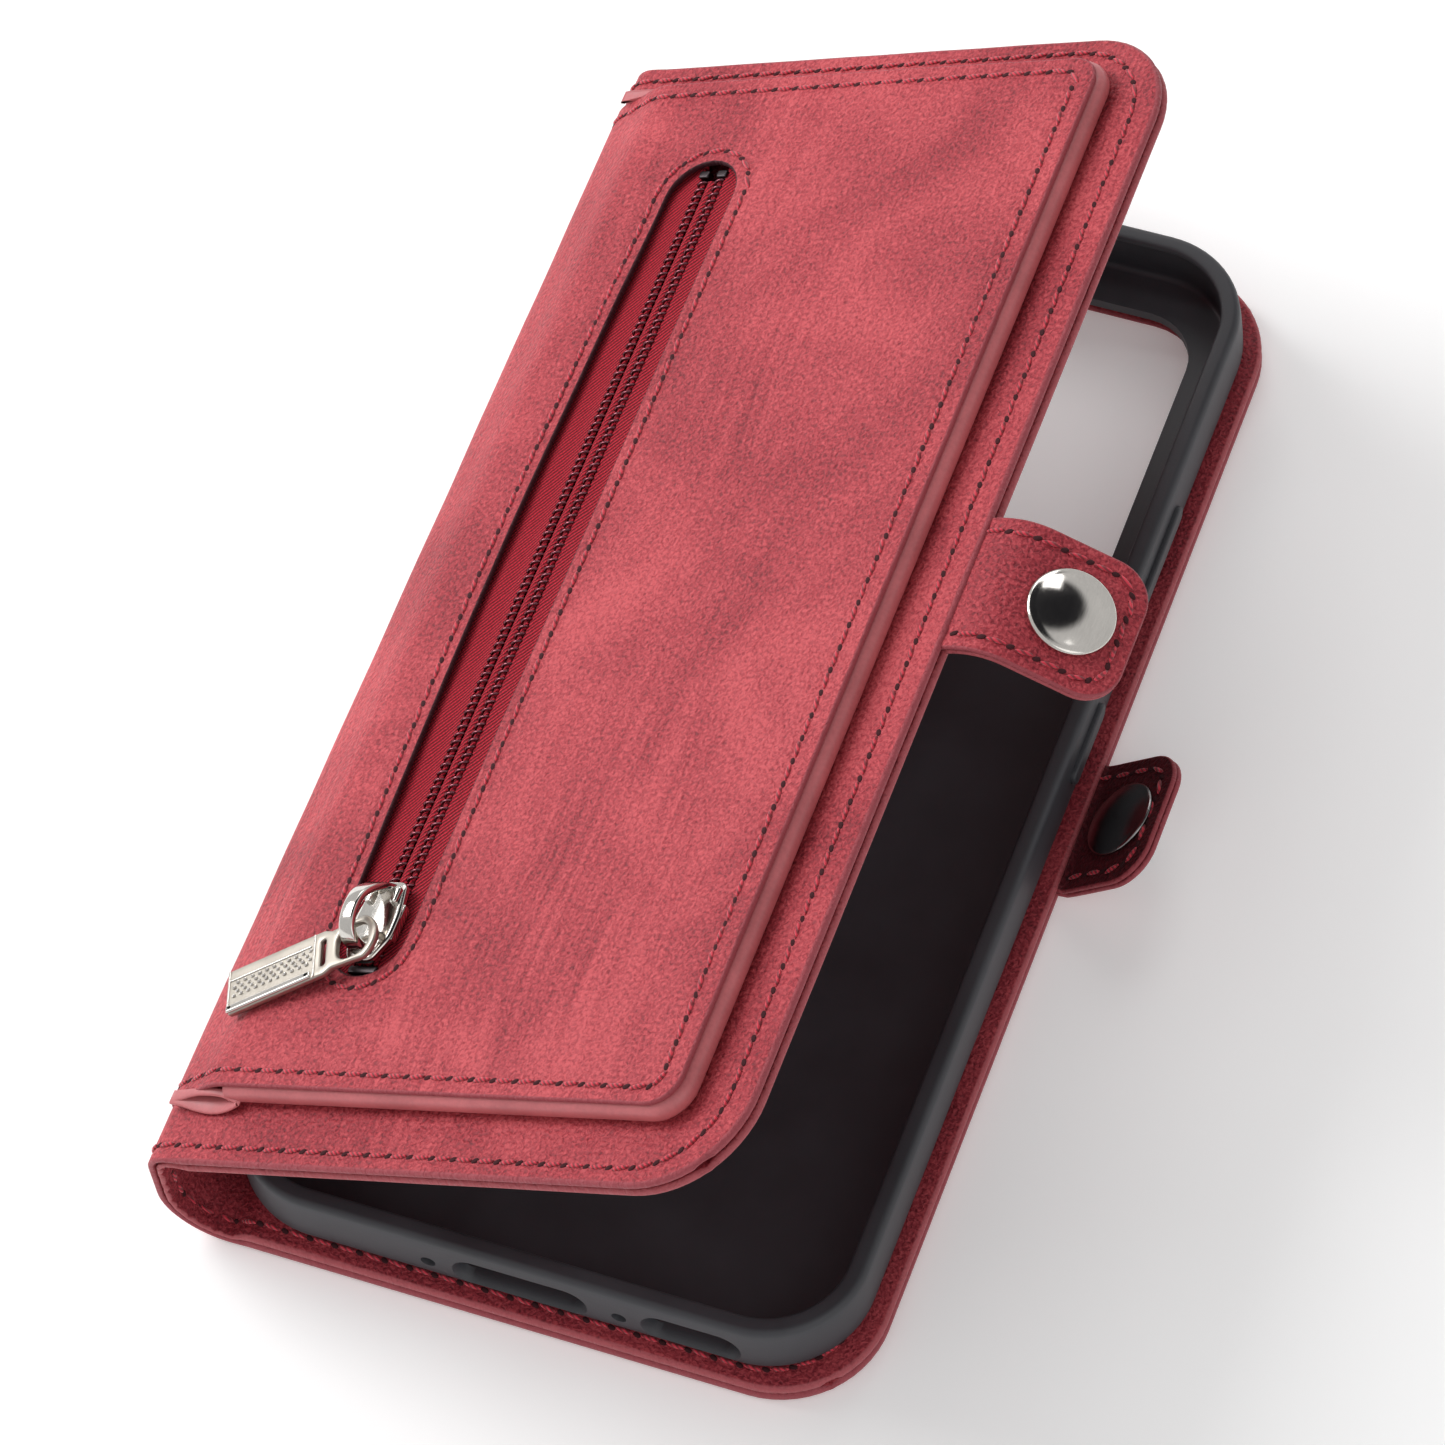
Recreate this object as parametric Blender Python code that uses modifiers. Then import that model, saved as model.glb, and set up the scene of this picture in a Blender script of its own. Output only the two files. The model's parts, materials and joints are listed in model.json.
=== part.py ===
"""Wallet case with a zip pocket for a handset: two leather covers joined by a soft spine.

Metres, +Z up. The back cover lies on Z = 0 with its outer face down, +X runs from the spine
to the opening edge and +Y to the top of the handset. The front cover stands half open.
"""

import math

import bmesh
import bpy
from mathutils import Matrix, Vector

MM = 0.001
FIT = 0.3 * MM               # clearance between pieces that touch

# Handset that the tray is made for
HANDSET_WIDTH = 75.8 * MM
HANDSET_LENGTH = 157.4 * MM
HANDSET_THICK = 6.5 * MM

# Handset tray
TRAY_X = 1.1 * MM            # its centre line, from the origin
TRAY_WALL = 1.8 * MM
TRAY_FLOOR = 1.5 * MM
TRAY_CORNER_R = 12.5 * MM
TRAY_ROUND = 1.6 * MM        # rounding of its outer edges
LIP_HEIGHT = 1.2 * MM
LIP_REACH = 0.8 * MM         # the lip overhangs the handset by this
TRAY_EDGE_GAP = 1.9 * MM     # tray to the opening edge of the back cover
TRAY_SPINE_GAP = 6.0 * MM    # tray to the outer face of the spine
TRAY_END_GAP = 1.8 * MM      # tray to the top and bottom edges of the covers
CAMERA_SIZE = (26.0 * MM, 48.0 * MM)
CAMERA_FROM_CORNER = (19.3 * MM, 31.5 * MM)    # its centre, from the tray's top corner
CAMERA_R = 7.0 * MM
CAMERA_STEP = 0.6 * MM       # each layer below is cut wider by this
PORT_HEIGHT = 4.7 * MM
PORT_RISE = 2.4 * MM         # centre of the ports above the tray's floor
CHARGE_PORT = (0.0 * MM, 16.0 * MM)     # centre from the tray's centre line, and width
SPEAKER_PORT = (21.5 * MM, 11.5 * MM)
MIC_HOLES = ((-11.6 * MM, 1.6 * MM), (12.5 * MM, 1.6 * MM))
BUTTONS = ((46.5 * MM, 21.0 * MM), (71.5 * MM, 11.5 * MM))    # centre below the tray's top, length
BUTTON_HEIGHT = 2.6 * MM
BUTTON_R = 1.2 * MM
BUTTON_PROUD = 0.7 * MM

# Covers
CORNER_R = 13.0 * MM         # outer corners at the opening edge
BACK_THICK = 3.2 * MM
FRONT_THICK = 2.6 * MM
FRONT_SHORT = 1.6 * MM       # closed, the front cover stops this far short of the back's edge
FRONT_ANGLE = 25.9           # degrees that the front cover stands open
SEAM = 4.0 * MM              # sewn margin round each stiffening board
SKIN = 0.8 * MM              # leather of the covers and the spine
LINING = 0.5 * MM

# Spine
SPINE_R = 8.1 * MM           # bend up from the back cover, at the outer face
SPINE_RISE = 1.8 * MM        # end of the upright part above the tray
TOP_R = 4.0 * MM             # bend over to the front cover, at the outer face
BACK_FOLD = 225.0            # degrees round the lower bend where the spine folds
FRONT_FOLD = 148.0           # degrees round the upper bend where the spine folds
LINING_FOLD_GAP = 0.7 * MM   # the lining stops short of a fold that closes

# Card pockets on the inner side of the front cover
SLOT_PLY = 0.4 * MM
CASH_MOUTH = 4.5 * MM        # from the start of the flat
CARD_MOUTHS = (13.0 * MM, 22.0 * MM)
CARD_MARGIN = 6.2 * MM       # their closed ends to the opening edge
CARD_HALF = 47.0 * MM
CASH_MARGIN = 6.3 * MM       # sides of the long pocket to the ends of the cover

# Zip pocket on the outer side of the front cover
POCKET_RIGHT_MARGIN = 7.8 * MM
POCKET_BOTTOM_MARGIN = 8.5 * MM
POCKET_TOP_MARGIN = 6.1 * MM
POCKET_RISE = 3.0 * MM       # clear height inside
POCKET_RAMP = 7.0 * MM       # the face comes down to the spine over this width
POCKET_R = 4.0 * MM
GUSSET = 1.0 * MM
WINDOW_X = 20.75 * MM        # centre line of the zip, from the start of the flat
WINDOW_WIDTH = 10.3 * MM
WINDOW_BOTTOM_MARGIN = 15.6 * MM    # to the pocket's lower edge
WINDOW_TOP_MARGIN = 13.4 * MM
TAPE = 0.5 * MM
TAPE_MARGIN = 3.5 * MM       # tape beyond the window on each side
TAPE_END = 6.0 * MM          # tape beyond the window at each end
CHAIN_GAP = 1.2 * MM         # between the two rows of the coil
COIL_WIDTH = 1.55 * MM
COIL_HEIGHT = 1.2 * MM
STOP = 1.1 * MM              # length of a stop along the zip
STOP_INSET = 0.7 * MM        # a stop stands this far inside the end of the window

# Slider and pull
SLIDER_LENGTH = 11.0 * MM
SLIDER_WIDTH = 6.6 * MM
SLIDER_REAR_WIDTH = 4.8 * MM
SLIDER_NOSE_WIDTH = 3.6 * MM
SLIDER_SHOULDERS = (-2.2 * MM, 1.1 * MM)    # full width between these, from its centre
SLIDER_PLATE = 1.0 * MM
SLIDER_FROM_END = 7.2 * MM   # its centre above the window's lower end, with the zip closed
POST_WIDTH = 0.6 * MM
POST_RANGE = (-4.95 * MM, -1.1 * MM)
BRIDGE_WIDTH = 2.2 * MM
BRIDGE_BAR = 1.0 * MM
BRIDGE_ALONG = (4.62 * MM, 3.41 * MM, 1.38 * MM, -0.28 * MM, -2.2 * MM, -3.63 * MM, -4.18 * MM, -4.07 * MM)
BRIDGE_RISE = (0.0 * MM, 2.1 * MM, 4.23 * MM, 4.7 * MM, 4.5 * MM, 3.67 * MM, 2.26 * MM, 0.0 * MM)
PULL_LENGTH = 18.4 * MM      # pivot to the free end
PULL_WIDTH = 6.5 * MM
PULL_THICK = 1.1 * MM
PULL_RISE = 1.88 * MM        # pivot above the slider's top plate
PULL_BACK = 4.125 * MM       # pivot behind the slider's centre
PULL_TURN = 202.0            # degrees round the cover's normal, from its +X
PULL_DROP = 5.5              # degrees that its free end hangs down
EYE_BAR = 1.2 * MM
EYE_HOLE = 4.6 * MM
EYE_R = 1.6 * MM             # corners of the hole

# Closing tabs
TAB_CENTRE_Y = 0.8 * MM
TAB_WIDTH = 18.6 * MM
TAB_PLY = 0.65 * MM
TAB_R = 5.0 * MM
TAB_FOLD = 0.9 * MM          # from a cover's edge to the fold of its tab
FRONT_TAB_LENGTH = 20.0 * MM
BACK_TAB_LENGTH = 13.4 * MM
FRONT_TAB_START = -5.0       # degrees to its cover at the fold
FRONT_TAB_BEND = -43.0
BACK_TAB_START = 38.0
BACK_TAB_BEND = 4.0
BEND_FROM = 1.0 * MM
BEND_LENGTH = 5.8 * MM
BACK_BEND_LENGTH = 0.3 * MM
FRONT_SNAP_AT = 11.7 * MM    # from the fold
BACK_SNAP_AT = 6.6 * MM
CAP_R = 5.5 * MM
CAP_HEIGHT = 2.0 * MM
CAP_RIM = 0.5 * MM           # height of the straight rim under a dome
DISC_R = 5.2 * MM
DISC_HEIGHT = 1.4 * MM
MAGNET_R = 4.8 * MM
MAGNET_HEIGHT = 1.0 * MM
MAGNET_EDGE = 0.3 * MM       # chamfer, and depth of the dish
DISH_R = 2.7 * MM
POST_R = 1.2 * MM
ARC_STEPS = 8

# Derived
TRAY_WIDTH = HANDSET_WIDTH + 2 * TRAY_WALL
TRAY_LENGTH = HANDSET_LENGTH + 2 * TRAY_WALL
TRAY_HEIGHT = TRAY_FLOOR + HANDSET_THICK + LIP_HEIGHT
TRAY_Z = BACK_THICK + FIT
TRAY_RIGHT = TRAY_X + TRAY_WIDTH / 2
OPENING_X = TRAY_RIGHT + TRAY_EDGE_GAP
SPINE_X = TRAY_X - TRAY_WIDTH / 2 - TRAY_SPINE_GAP
SPINE_TOP_Z = TRAY_Z + TRAY_HEIGHT + SPINE_RISE
HALF_LENGTH = TRAY_LENGTH / 2 + TRAY_END_GAP
FRONT_WIDTH = OPENING_X - SPINE_X - TOP_R - FRONT_SHORT
CARD_END = FRONT_WIDTH - CARD_MARGIN
CASH_HALF = HALF_LENGTH - CASH_MARGIN
POCKET_RIGHT = FRONT_WIDTH - POCKET_RIGHT_MARGIN
POCKET_BOTTOM = POCKET_BOTTOM_MARGIN - HALF_LENGTH
POCKET_TOP = HALF_LENGTH - POCKET_TOP_MARGIN
WINDOW_BOTTOM = POCKET_BOTTOM + WINDOW_BOTTOM_MARGIN
WINDOW_TOP = POCKET_TOP - WINDOW_TOP_MARGIN
SLIDER_AT = WINDOW_BOTTOM + SLIDER_FROM_END
FACE_TOP = POCKET_RISE + SKIN
TAPE_TOP = POCKET_RISE - FIT
COIL_TOP = TAPE_TOP - TAPE / 2 + COIL_HEIGHT / 2
COIL_BOTTOM = COIL_TOP - COIL_HEIGHT
TAB_THICK = 2 * TAB_PLY + FIT
LOWER_BEND = Vector((SPINE_X + SPINE_R, SPINE_R))
UPPER_BEND = Vector((SPINE_X + TOP_R, SPINE_TOP_Z))

COLOURS = {
    "leather": ((0.47, 0.045, 0.06), 0.6, 0.0),
    "lining": ((0.40, 0.04, 0.05), 0.7, 0.0),
    "board": ((0.32, 0.25, 0.18), 0.9, 0.0),
    "tray": ((0.045, 0.045, 0.05), 0.55, 0.0),
    "tape": ((0.38, 0.02, 0.03), 0.85, 0.0),
    "coil": ((0.08, 0.07, 0.07), 0.35, 0.6),
    "nickel": ((0.75, 0.72, 0.68), 0.2, 1.0),
    "magnet": ((0.35, 0.35, 0.36), 0.35, 1.0),
}


def clear_scene():
    for old in list(bpy.data.objects):
        bpy.data.objects.remove(old, do_unlink=True)


def new_collection(name):
    group = bpy.data.collections.new(name)
    bpy.context.scene.collection.children.link(group)
    return group


def paint(piece, look):
    colour, rough, metal = COLOURS[look]
    material = bpy.data.materials.new(piece.name + "_finish")
    material.use_nodes = True
    shader = material.node_tree.nodes["Principled BSDF"]
    shader.inputs["Base Color"].default_value = (*colour, 1.0)
    shader.inputs["Roughness"].default_value = rough
    shader.inputs["Metallic"].default_value = metal
    piece.data.materials.clear()
    piece.data.materials.append(material)


def link(piece, group, look=None):
    group.objects.link(piece)
    if look:
        paint(piece, look)
    else:
        piece.hide_render = True
        piece.display_type = "WIRE"
    return piece


def polar(centre, radius, degrees):
    turn = math.radians(degrees)
    return Vector((centre[0] + radius * math.cos(turn), centre[1] + radius * math.sin(turn)))


def arc(centre, radius, start, end, steps=ARC_STEPS):
    return [polar(centre, radius, start + (end - start) * i / steps) for i in range(steps + 1)]


def rounded_outline(low, high, radii):
    """Rectangle with corner radii in the order right-top, left-top, left-bottom, right-bottom."""
    signs = ((1, 1), (-1, 1), (-1, -1), (1, -1))
    points = []
    for i, (sx, sy) in enumerate(signs):
        radius = radii[i]
        corner = Vector((high[0] if sx > 0 else low[0], high[1] if sy > 0 else low[1]))
        if radius <= 0:
            points.append(corner)
            continue
        centre = corner - Vector((sx * radius, sy * radius))
        points += arc(centre, radius, 90 * i, 90 * i + 90)
    return points


def mesh_from_curve(name, points, depth, placing):
    """Extruded flat outline, centred on its plane, as a closed mesh."""
    curve = bpy.data.curves.new(name, "CURVE")
    curve.dimensions = "2D"
    curve.fill_mode = "BOTH"
    curve.extrude = depth / 2
    spline = curve.splines.new("POLY")
    spline.points.add(len(points) - 1)
    for target, point in zip(spline.points, points):
        target.co = (point[0], point[1], 0.0, 1.0)
    spline.use_cyclic_u = True
    guide = bpy.data.objects.new(name + "_outline", curve)
    bpy.context.scene.collection.objects.link(guide)
    depsgraph = bpy.context.evaluated_depsgraph_get()
    mesh = bpy.data.meshes.new_from_object(guide.evaluated_get(depsgraph))
    bpy.data.objects.remove(guide, do_unlink=True)
    cleaned = bmesh.new()
    cleaned.from_mesh(mesh)
    bmesh.ops.remove_doubles(cleaned, verts=cleaned.verts, dist=1e-6)
    bmesh.ops.transform(cleaned, matrix=placing, verts=cleaned.verts)
    bmesh.ops.recalc_face_normals(cleaned, faces=cleaned.faces)
    cleaned.to_mesh(mesh)
    cleaned.free()
    mesh.name = name
    return bpy.data.objects.new(name, mesh)


def plate(name, points, z_low, z_high):
    placing = Matrix.Translation((0, 0, (z_low + z_high) / 2))
    return mesh_from_curve(name, points, z_high - z_low, placing)


def strip(name, points, y_low, y_high):
    """Profile in X and Z, extruded along Y."""
    placing = Matrix.Translation((0, (y_low + y_high) / 2, 0)) @ Matrix.Rotation(math.pi / 2, 4, "X")
    return mesh_from_curve(name, points, y_high - y_low, placing)


def rail(name, points, x_low, x_high):
    """Profile in Y and Z, extruded along X."""
    turn = Matrix(((0, 0, 1, 0), (1, 0, 0, 0), (0, 1, 0, 0), (0, 0, 0, 1)))
    placing = Matrix.Translation(((x_low + x_high) / 2, 0, 0)) @ turn
    return mesh_from_curve(name, points, x_high - x_low, placing)


def turned(name, profile, steps=32):
    """Screw of a profile given from the top of the axis, down the outer side, to its foot."""
    mesh = bpy.data.meshes.new(name)
    edges = [(i, i + 1) for i in range(len(profile) - 1)]
    mesh.from_pydata([(x, 0.0, z) for x, z in profile], edges, [])
    piece = bpy.data.objects.new(name, mesh)
    screw = piece.modifiers.new("Turn", "SCREW")
    screw.axis = "Z"
    screw.steps = steps
    screw.render_steps = steps
    screw.use_merge_vertices = True
    screw.merge_threshold = 1e-6
    return piece


def boolean(piece, tool, operation="DIFFERENCE"):
    cut = piece.modifiers.new(tool.name, "BOOLEAN")
    cut.operation = operation
    cut.solver = "EXACT"
    cut.object = tool
    return piece


def hang(piece, parent):
    piece.parent = parent
    return piece


def empty(name, location, turn_y=0.0, parent=None):
    frame = bpy.data.objects.new(name, None)
    frame.location = location
    frame.rotation_euler = (0.0, turn_y, 0.0)
    frame.parent = parent
    bpy.context.scene.collection.objects.link(frame)
    return frame


def cover_outline(x_left, x_right, inset=0.0):
    """Plan of a cover, with round corners on the opening side only."""
    radius = CORNER_R - inset
    low = (x_left, -HALF_LENGTH + inset)
    high = (x_right - inset, HALF_LENGTH - inset)
    return rounded_outline(low, high, (radius, 0, 0, radius))


def round_corners(piece, cutters, x_left, x_right, z_low, z_high):
    """Keeps what lies inside the cover's plan."""
    tool = plate(piece.name + "_plan", cover_outline(x_left, x_right), z_low, z_high)
    hang(link(tool, cutters), piece.parent)
    boolean(piece, tool, "INTERSECT")


def recess(piece, cutters, x_left, x_right, z_low, z_high):
    tool = plate(piece.name + "_recess", cover_outline(x_left, x_right, SEAM), z_low, z_high)
    hang(link(tool, cutters), piece.parent)
    boolean(piece, tool)


def camera_cut(piece, cutters, widen, z_low, z_high):
    half = Vector(CAMERA_SIZE) / 2 + Vector((widen, widen))
    centre = Vector((TRAY_RIGHT - CAMERA_FROM_CORNER[0], TRAY_LENGTH / 2 - CAMERA_FROM_CORNER[1]))
    radius = CAMERA_R + widen
    points = rounded_outline(centre - half, centre + half, (radius,) * 4)
    tool = link(plate(piece.name + "_camera", points, z_low, z_high), cutters)
    boolean(piece, tool)


def make_back(parts, cutters):
    """Outer leather, board and inner leather of the back cover."""
    seam_z = (BACK_THICK - FIT) / 2
    step = 2 * SKIN
    start = LOWER_BEND.x
    end_turn = BACK_FOLD + math.degrees(FIT / 2 / SPINE_R)
    ply = [Vector((OPENING_X, 0)), Vector((OPENING_X, seam_z)), Vector((start + step, seam_z))]
    ply += arc(LOWER_BEND, SPINE_R - SKIN, 270, end_turn)
    ply += arc(LOWER_BEND, SPINE_R, end_turn, 270)
    outer = link(strip("back_outer_panel", ply, -HALF_LENGTH, HALF_LENGTH), parts, "leather")
    round_corners(outer, cutters, SPINE_X - SKIN, OPENING_X, -SKIN, TRAY_Z)
    board_left = start + step + SEAM / 2
    recess(outer, cutters, board_left, OPENING_X, SKIN, TRAY_Z)
    camera_cut(outer, cutters, 2 * CAMERA_STEP, -SKIN, TRAY_Z)

    lining_out = SPINE_R - SKIN - FIT
    lining_in = lining_out - LINING
    lining_turn = BACK_FOLD + math.degrees(LINING_FOLD_GAP / 2 / lining_in)
    ply = [Vector((OPENING_X, seam_z + FIT)), Vector((OPENING_X, BACK_THICK))]
    ply += [Vector((start + 2 * step, BACK_THICK))]
    ply += arc(LOWER_BEND, lining_in, 270, lining_turn)
    ply += arc(LOWER_BEND, lining_out, lining_turn, 270)
    ply += [Vector((start + step, seam_z + FIT))]
    inner = link(strip("back_inner_panel", ply, -HALF_LENGTH, HALF_LENGTH), parts, "leather")
    round_corners(inner, cutters, SPINE_X - SKIN, OPENING_X, -SKIN, TRAY_Z + SKIN)
    recess(inner, cutters, board_left, OPENING_X, SKIN, BACK_THICK - SKIN)
    camera_cut(inner, cutters, CAMERA_STEP, -SKIN, TRAY_Z + SKIN)

    outline = cover_outline(board_left + FIT, OPENING_X, SEAM + FIT)
    board = plate("back_stiffener", outline, SKIN + FIT, BACK_THICK - SKIN - FIT)
    link(board, parts, "board")
    camera_cut(board, cutters, 3 * CAMERA_STEP, 0, TRAY_Z)


def make_spine(parts, pivot):
    """Upright strip between the two folds, drawn as if at rest and hung on its fold."""
    for name, look, outer, inner, gap in (
        ("spine_outer", "leather", 0.0, SKIN, FIT),
        ("spine_lining", "lining", SKIN + FIT, SKIN + FIT + LINING, LINING_FOLD_GAP),
    ):
        low = BACK_FOLD - math.degrees(gap / 2 / (SPINE_R - inner))
        high = FRONT_FOLD + math.degrees(gap / 2 / (TOP_R - inner))
        profile = arc(LOWER_BEND, SPINE_R - outer, low, 180)
        profile += arc(UPPER_BEND, TOP_R - outer, 180, high)
        profile += arc(UPPER_BEND, TOP_R - inner, high, 180)
        profile += arc(LOWER_BEND, SPINE_R - inner, 180, low)
        shifted = [point - Vector((pivot.location.x, pivot.location.z)) for point in profile]
        piece = strip(name, shifted, -HALF_LENGTH, HALF_LENGTH)
        hang(link(piece, parts, look), pivot)


def make_front(parts, cutters, frame):
    """Plies of the front cover, in its own frame: X to the opening edge, Z out of the cover."""
    seam = -(FRONT_THICK - FIT) / 2
    bend = Vector((0, -TOP_R))
    fold = FRONT_FOLD - FRONT_ANGLE
    end_turn = fold - math.degrees(FIT / 2 / TOP_R)
    step = 2 * SKIN
    ply = [Vector((FRONT_WIDTH, seam)), Vector((FRONT_WIDTH, 0))]
    ply += arc(bend, TOP_R, 90, end_turn)
    ply += arc(bend, TOP_R - SKIN, end_turn, 90)
    ply += [Vector((step, seam))]
    outer = hang(strip("front_outer_panel", ply, -HALF_LENGTH, HALF_LENGTH), frame)
    link(outer, parts, "leather")
    left = -TOP_R - SKIN
    round_corners(outer, cutters, left, FRONT_WIDTH, -TOP_R, SKIN)
    board_left = step + SEAM / 2
    recess(outer, cutters, board_left, FRONT_WIDTH, -FRONT_THICK, -SKIN)

    lining_out = TOP_R - SKIN - FIT
    lining_in = lining_out - LINING
    lining_turn = fold - math.degrees(LINING_FOLD_GAP / 2 / lining_in)
    ply = [Vector((FRONT_WIDTH, -FRONT_THICK)), Vector((FRONT_WIDTH, seam - FIT))]
    ply += [Vector((step, seam - FIT))]
    ply += arc(bend, lining_out, 90, lining_turn)
    ply += arc(bend, lining_in, lining_turn, 90)
    ply += [Vector((2 * step, -FRONT_THICK))]
    inner = hang(strip("front_lining", ply, -HALF_LENGTH, HALF_LENGTH), frame)
    link(inner, parts, "lining")
    round_corners(inner, cutters, left, FRONT_WIDTH, -TOP_R, SKIN)
    recess(inner, cutters, board_left, FRONT_WIDTH, -FRONT_THICK + SKIN, 0)

    outline = cover_outline(board_left + FIT, FRONT_WIDTH, SEAM + FIT)
    board = plate("front_stiffener", outline, -FRONT_THICK + SKIN + FIT, -SKIN - FIT)
    hang(link(board, parts, "board"), frame)


def make_card_pockets(parts, frame):
    mouths = [(CASH_MOUTH, CASH_HALF)] + [(mouth, CARD_HALF) for mouth in CARD_MOUTHS]
    names = ["cash_pocket_panel"] + [f"card_pocket_panel_{i + 1}" for i in range(len(CARD_MOUTHS))]
    for i, (mouth, half) in enumerate(mouths):
        top = -FRONT_THICK - FIT - i * (SLOT_PLY + FIT)
        radii = (POCKET_R, 0, 0, POCKET_R)
        outline = rounded_outline((mouth, -half), (CARD_END, half), radii)
        piece = plate(names[i], outline, top - SLOT_PLY, top)
        hang(link(piece, parts, "lining"), frame)


def window_outline(grow=0.0):
    half = WINDOW_WIDTH / 2 + grow
    low = (WINDOW_X - half, WINDOW_BOTTOM - grow)
    high = (WINDOW_X + half, WINDOW_TOP + grow)
    return rounded_outline(low, high, (half,) * 4)


def make_pocket(parts, cutters, frame):
    """Raised zip pocket: side wall on three sides and a face with the zip's window."""
    low = (POCKET_RAMP, POCKET_BOTTOM)
    high = (POCKET_RIGHT, POCKET_TOP)
    outline = rounded_outline(low, high, (POCKET_R, 0, 0, POCKET_R))
    gusset = plate("pocket_gusset", outline, FIT, POCKET_RISE - FIT)
    hang(link(gusset, parts, "leather"), frame)
    inner_low = (-POCKET_RAMP, POCKET_BOTTOM + GUSSET)
    inner_high = (POCKET_RIGHT - GUSSET, POCKET_TOP - GUSSET)
    radius = POCKET_R - GUSSET
    hollow = plate("gusset_hollow", rounded_outline(inner_low, inner_high, (radius, 0, 0, radius)),
                   -GUSSET, POCKET_RISE + GUSSET)
    hang(link(hollow, cutters), frame)
    boolean(gusset, hollow)

    start = Vector((LINING, FIT))
    ramp = []
    for i in range(ARC_STEPS + 1):
        share = i / ARC_STEPS
        rise = (1 - math.cos(math.pi * share)) / 2
        ramp.append(start + Vector((share * POCKET_RAMP, rise * (POCKET_RISE - FIT))))
    over = [point + Vector((0, SKIN)) for point in ramp]
    profile = ramp + [Vector((POCKET_RIGHT, POCKET_RISE)), Vector((POCKET_RIGHT, FACE_TOP))]
    profile += over[::-1]
    face = strip("pocket_face", profile, POCKET_BOTTOM, POCKET_TOP)
    hang(link(face, parts, "leather"), frame)
    low = (-POCKET_RAMP, POCKET_BOTTOM)
    plan = plate("pocket_plan", rounded_outline(low, high, (POCKET_R, 0, 0, POCKET_R)),
                 -SKIN, FACE_TOP + SKIN)
    hang(link(plan, cutters), frame)
    boolean(face, plan, "INTERSECT")
    window = plate("zip_window", window_outline(), -SKIN, FACE_TOP + SKIN)
    hang(link(window, cutters), frame)
    boolean(face, window)


def make_zip(parts, frame):
    """Two tapes, the two rows of the coil and the stops at its ends."""
    row_inner = CHAIN_GAP / 2
    row_outer = row_inner + COIL_WIDTH
    tape_reach = WINDOW_WIDTH / 2 + TAPE_MARGIN
    y_low = WINDOW_BOTTOM - TAPE_END
    y_high = WINDOW_TOP + TAPE_END
    stop_low = WINDOW_BOTTOM + STOP_INSET
    stop_high = WINDOW_TOP - STOP_INSET
    for side, name in ((-1, "left"), (1, "right")):
        near = WINDOW_X + side * (row_outer + FIT)
        far = WINDOW_X + side * tape_reach
        outline = rounded_outline((min(near, far), y_low), (max(near, far), y_high), (0,) * 4)
        tape = plate("zip_tape_" + name, outline, TAPE_TOP - TAPE, TAPE_TOP)
        hang(link(tape, parts, "tape"), frame)
        near = WINDOW_X + side * row_inner
        far = WINDOW_X + side * row_outer
        round_r = COIL_HEIGHT / 3
        section = rounded_outline((min(near, far), COIL_BOTTOM), (max(near, far), COIL_TOP), (round_r,) * 4)
        row = strip("zip_coil_" + name, section, stop_low + STOP + FIT, stop_high - STOP - FIT)
        hang(link(row, parts, "coil"), frame)
        stop = strip("zip_top_stop_" + name, section, stop_high - STOP, stop_high)
        hang(link(stop, parts, "nickel"), frame)
    outline = rounded_outline((WINDOW_X - row_outer, stop_low),
                              (WINDOW_X + row_outer, stop_low + STOP), (FIT,) * 4)
    stop = plate("zip_bottom_stop", outline, COIL_BOTTOM, COIL_TOP)
    hang(link(stop, parts, "nickel"), frame)


def slider_outline():
    """Plan of the slider's plates: broad shoulders that narrow to the rear."""
    half = SLIDER_WIDTH / 2
    end = SLIDER_LENGTH / 2
    low, high = SLIDER_SHOULDERS
    side = [(half, high), (half, low), (SLIDER_NOSE_WIDTH / 2, -end)]
    right = [(SLIDER_REAR_WIDTH / 2, end)] + side
    left = [(-x, y) for x, y in right[::-1]]
    return [Vector(point) for point in right + left]


def bridge_points(grow):
    """Side view of the bridge over the slider in Y and Z, from its root to its nose."""
    line = [Vector(point) for point in zip(BRIDGE_ALONG, BRIDGE_RISE)]
    points = []
    for i, point in enumerate(line):
        along = (line[min(i + 1, len(line) - 1)] - line[max(i - 1, 0)]).normalized()
        points.append(point + Vector((-along.y, along.x)) * -grow)
    points[0].y = 0.0
    points[-1].y = 0.0
    return points


def make_slider(parts, cutters, pivot):
    """Slider: plates above and below the chain, a thin post between them, and the bridge."""
    top_low = COIL_TOP + FIT
    top_high = top_low + SLIDER_PLATE
    low_high = COIL_BOTTOM - FIT
    slider = plate("zip_slider", slider_outline(), top_low, top_high)
    hang(link(slider, parts, "nickel"), pivot)
    lower = plate("slider_lower_plate", slider_outline(), low_high - SLIDER_PLATE, low_high)
    half = POST_WIDTH / 2
    post_plan = rounded_outline((-half, POST_RANGE[0]), (half, POST_RANGE[1]), (0,) * 4)
    post = plate("slider_post", post_plan, low_high - SLIDER_PLATE / 2, top_low + SLIDER_PLATE / 2)
    lift = Vector((0, top_high - SLIDER_PLATE / 2))
    arch = [point + lift for point in bridge_points(BRIDGE_BAR / 2)]
    arch += [point + lift for point in bridge_points(-BRIDGE_BAR / 2)[::-1]]
    bridge = rail("slider_bridge", arch, -BRIDGE_WIDTH / 2, BRIDGE_WIDTH / 2)
    for tool in (lower, post, bridge):
        hang(link(tool, cutters), pivot)
    for tool in (post, lower, bridge):
        boolean(slider, tool, "UNION")


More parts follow.
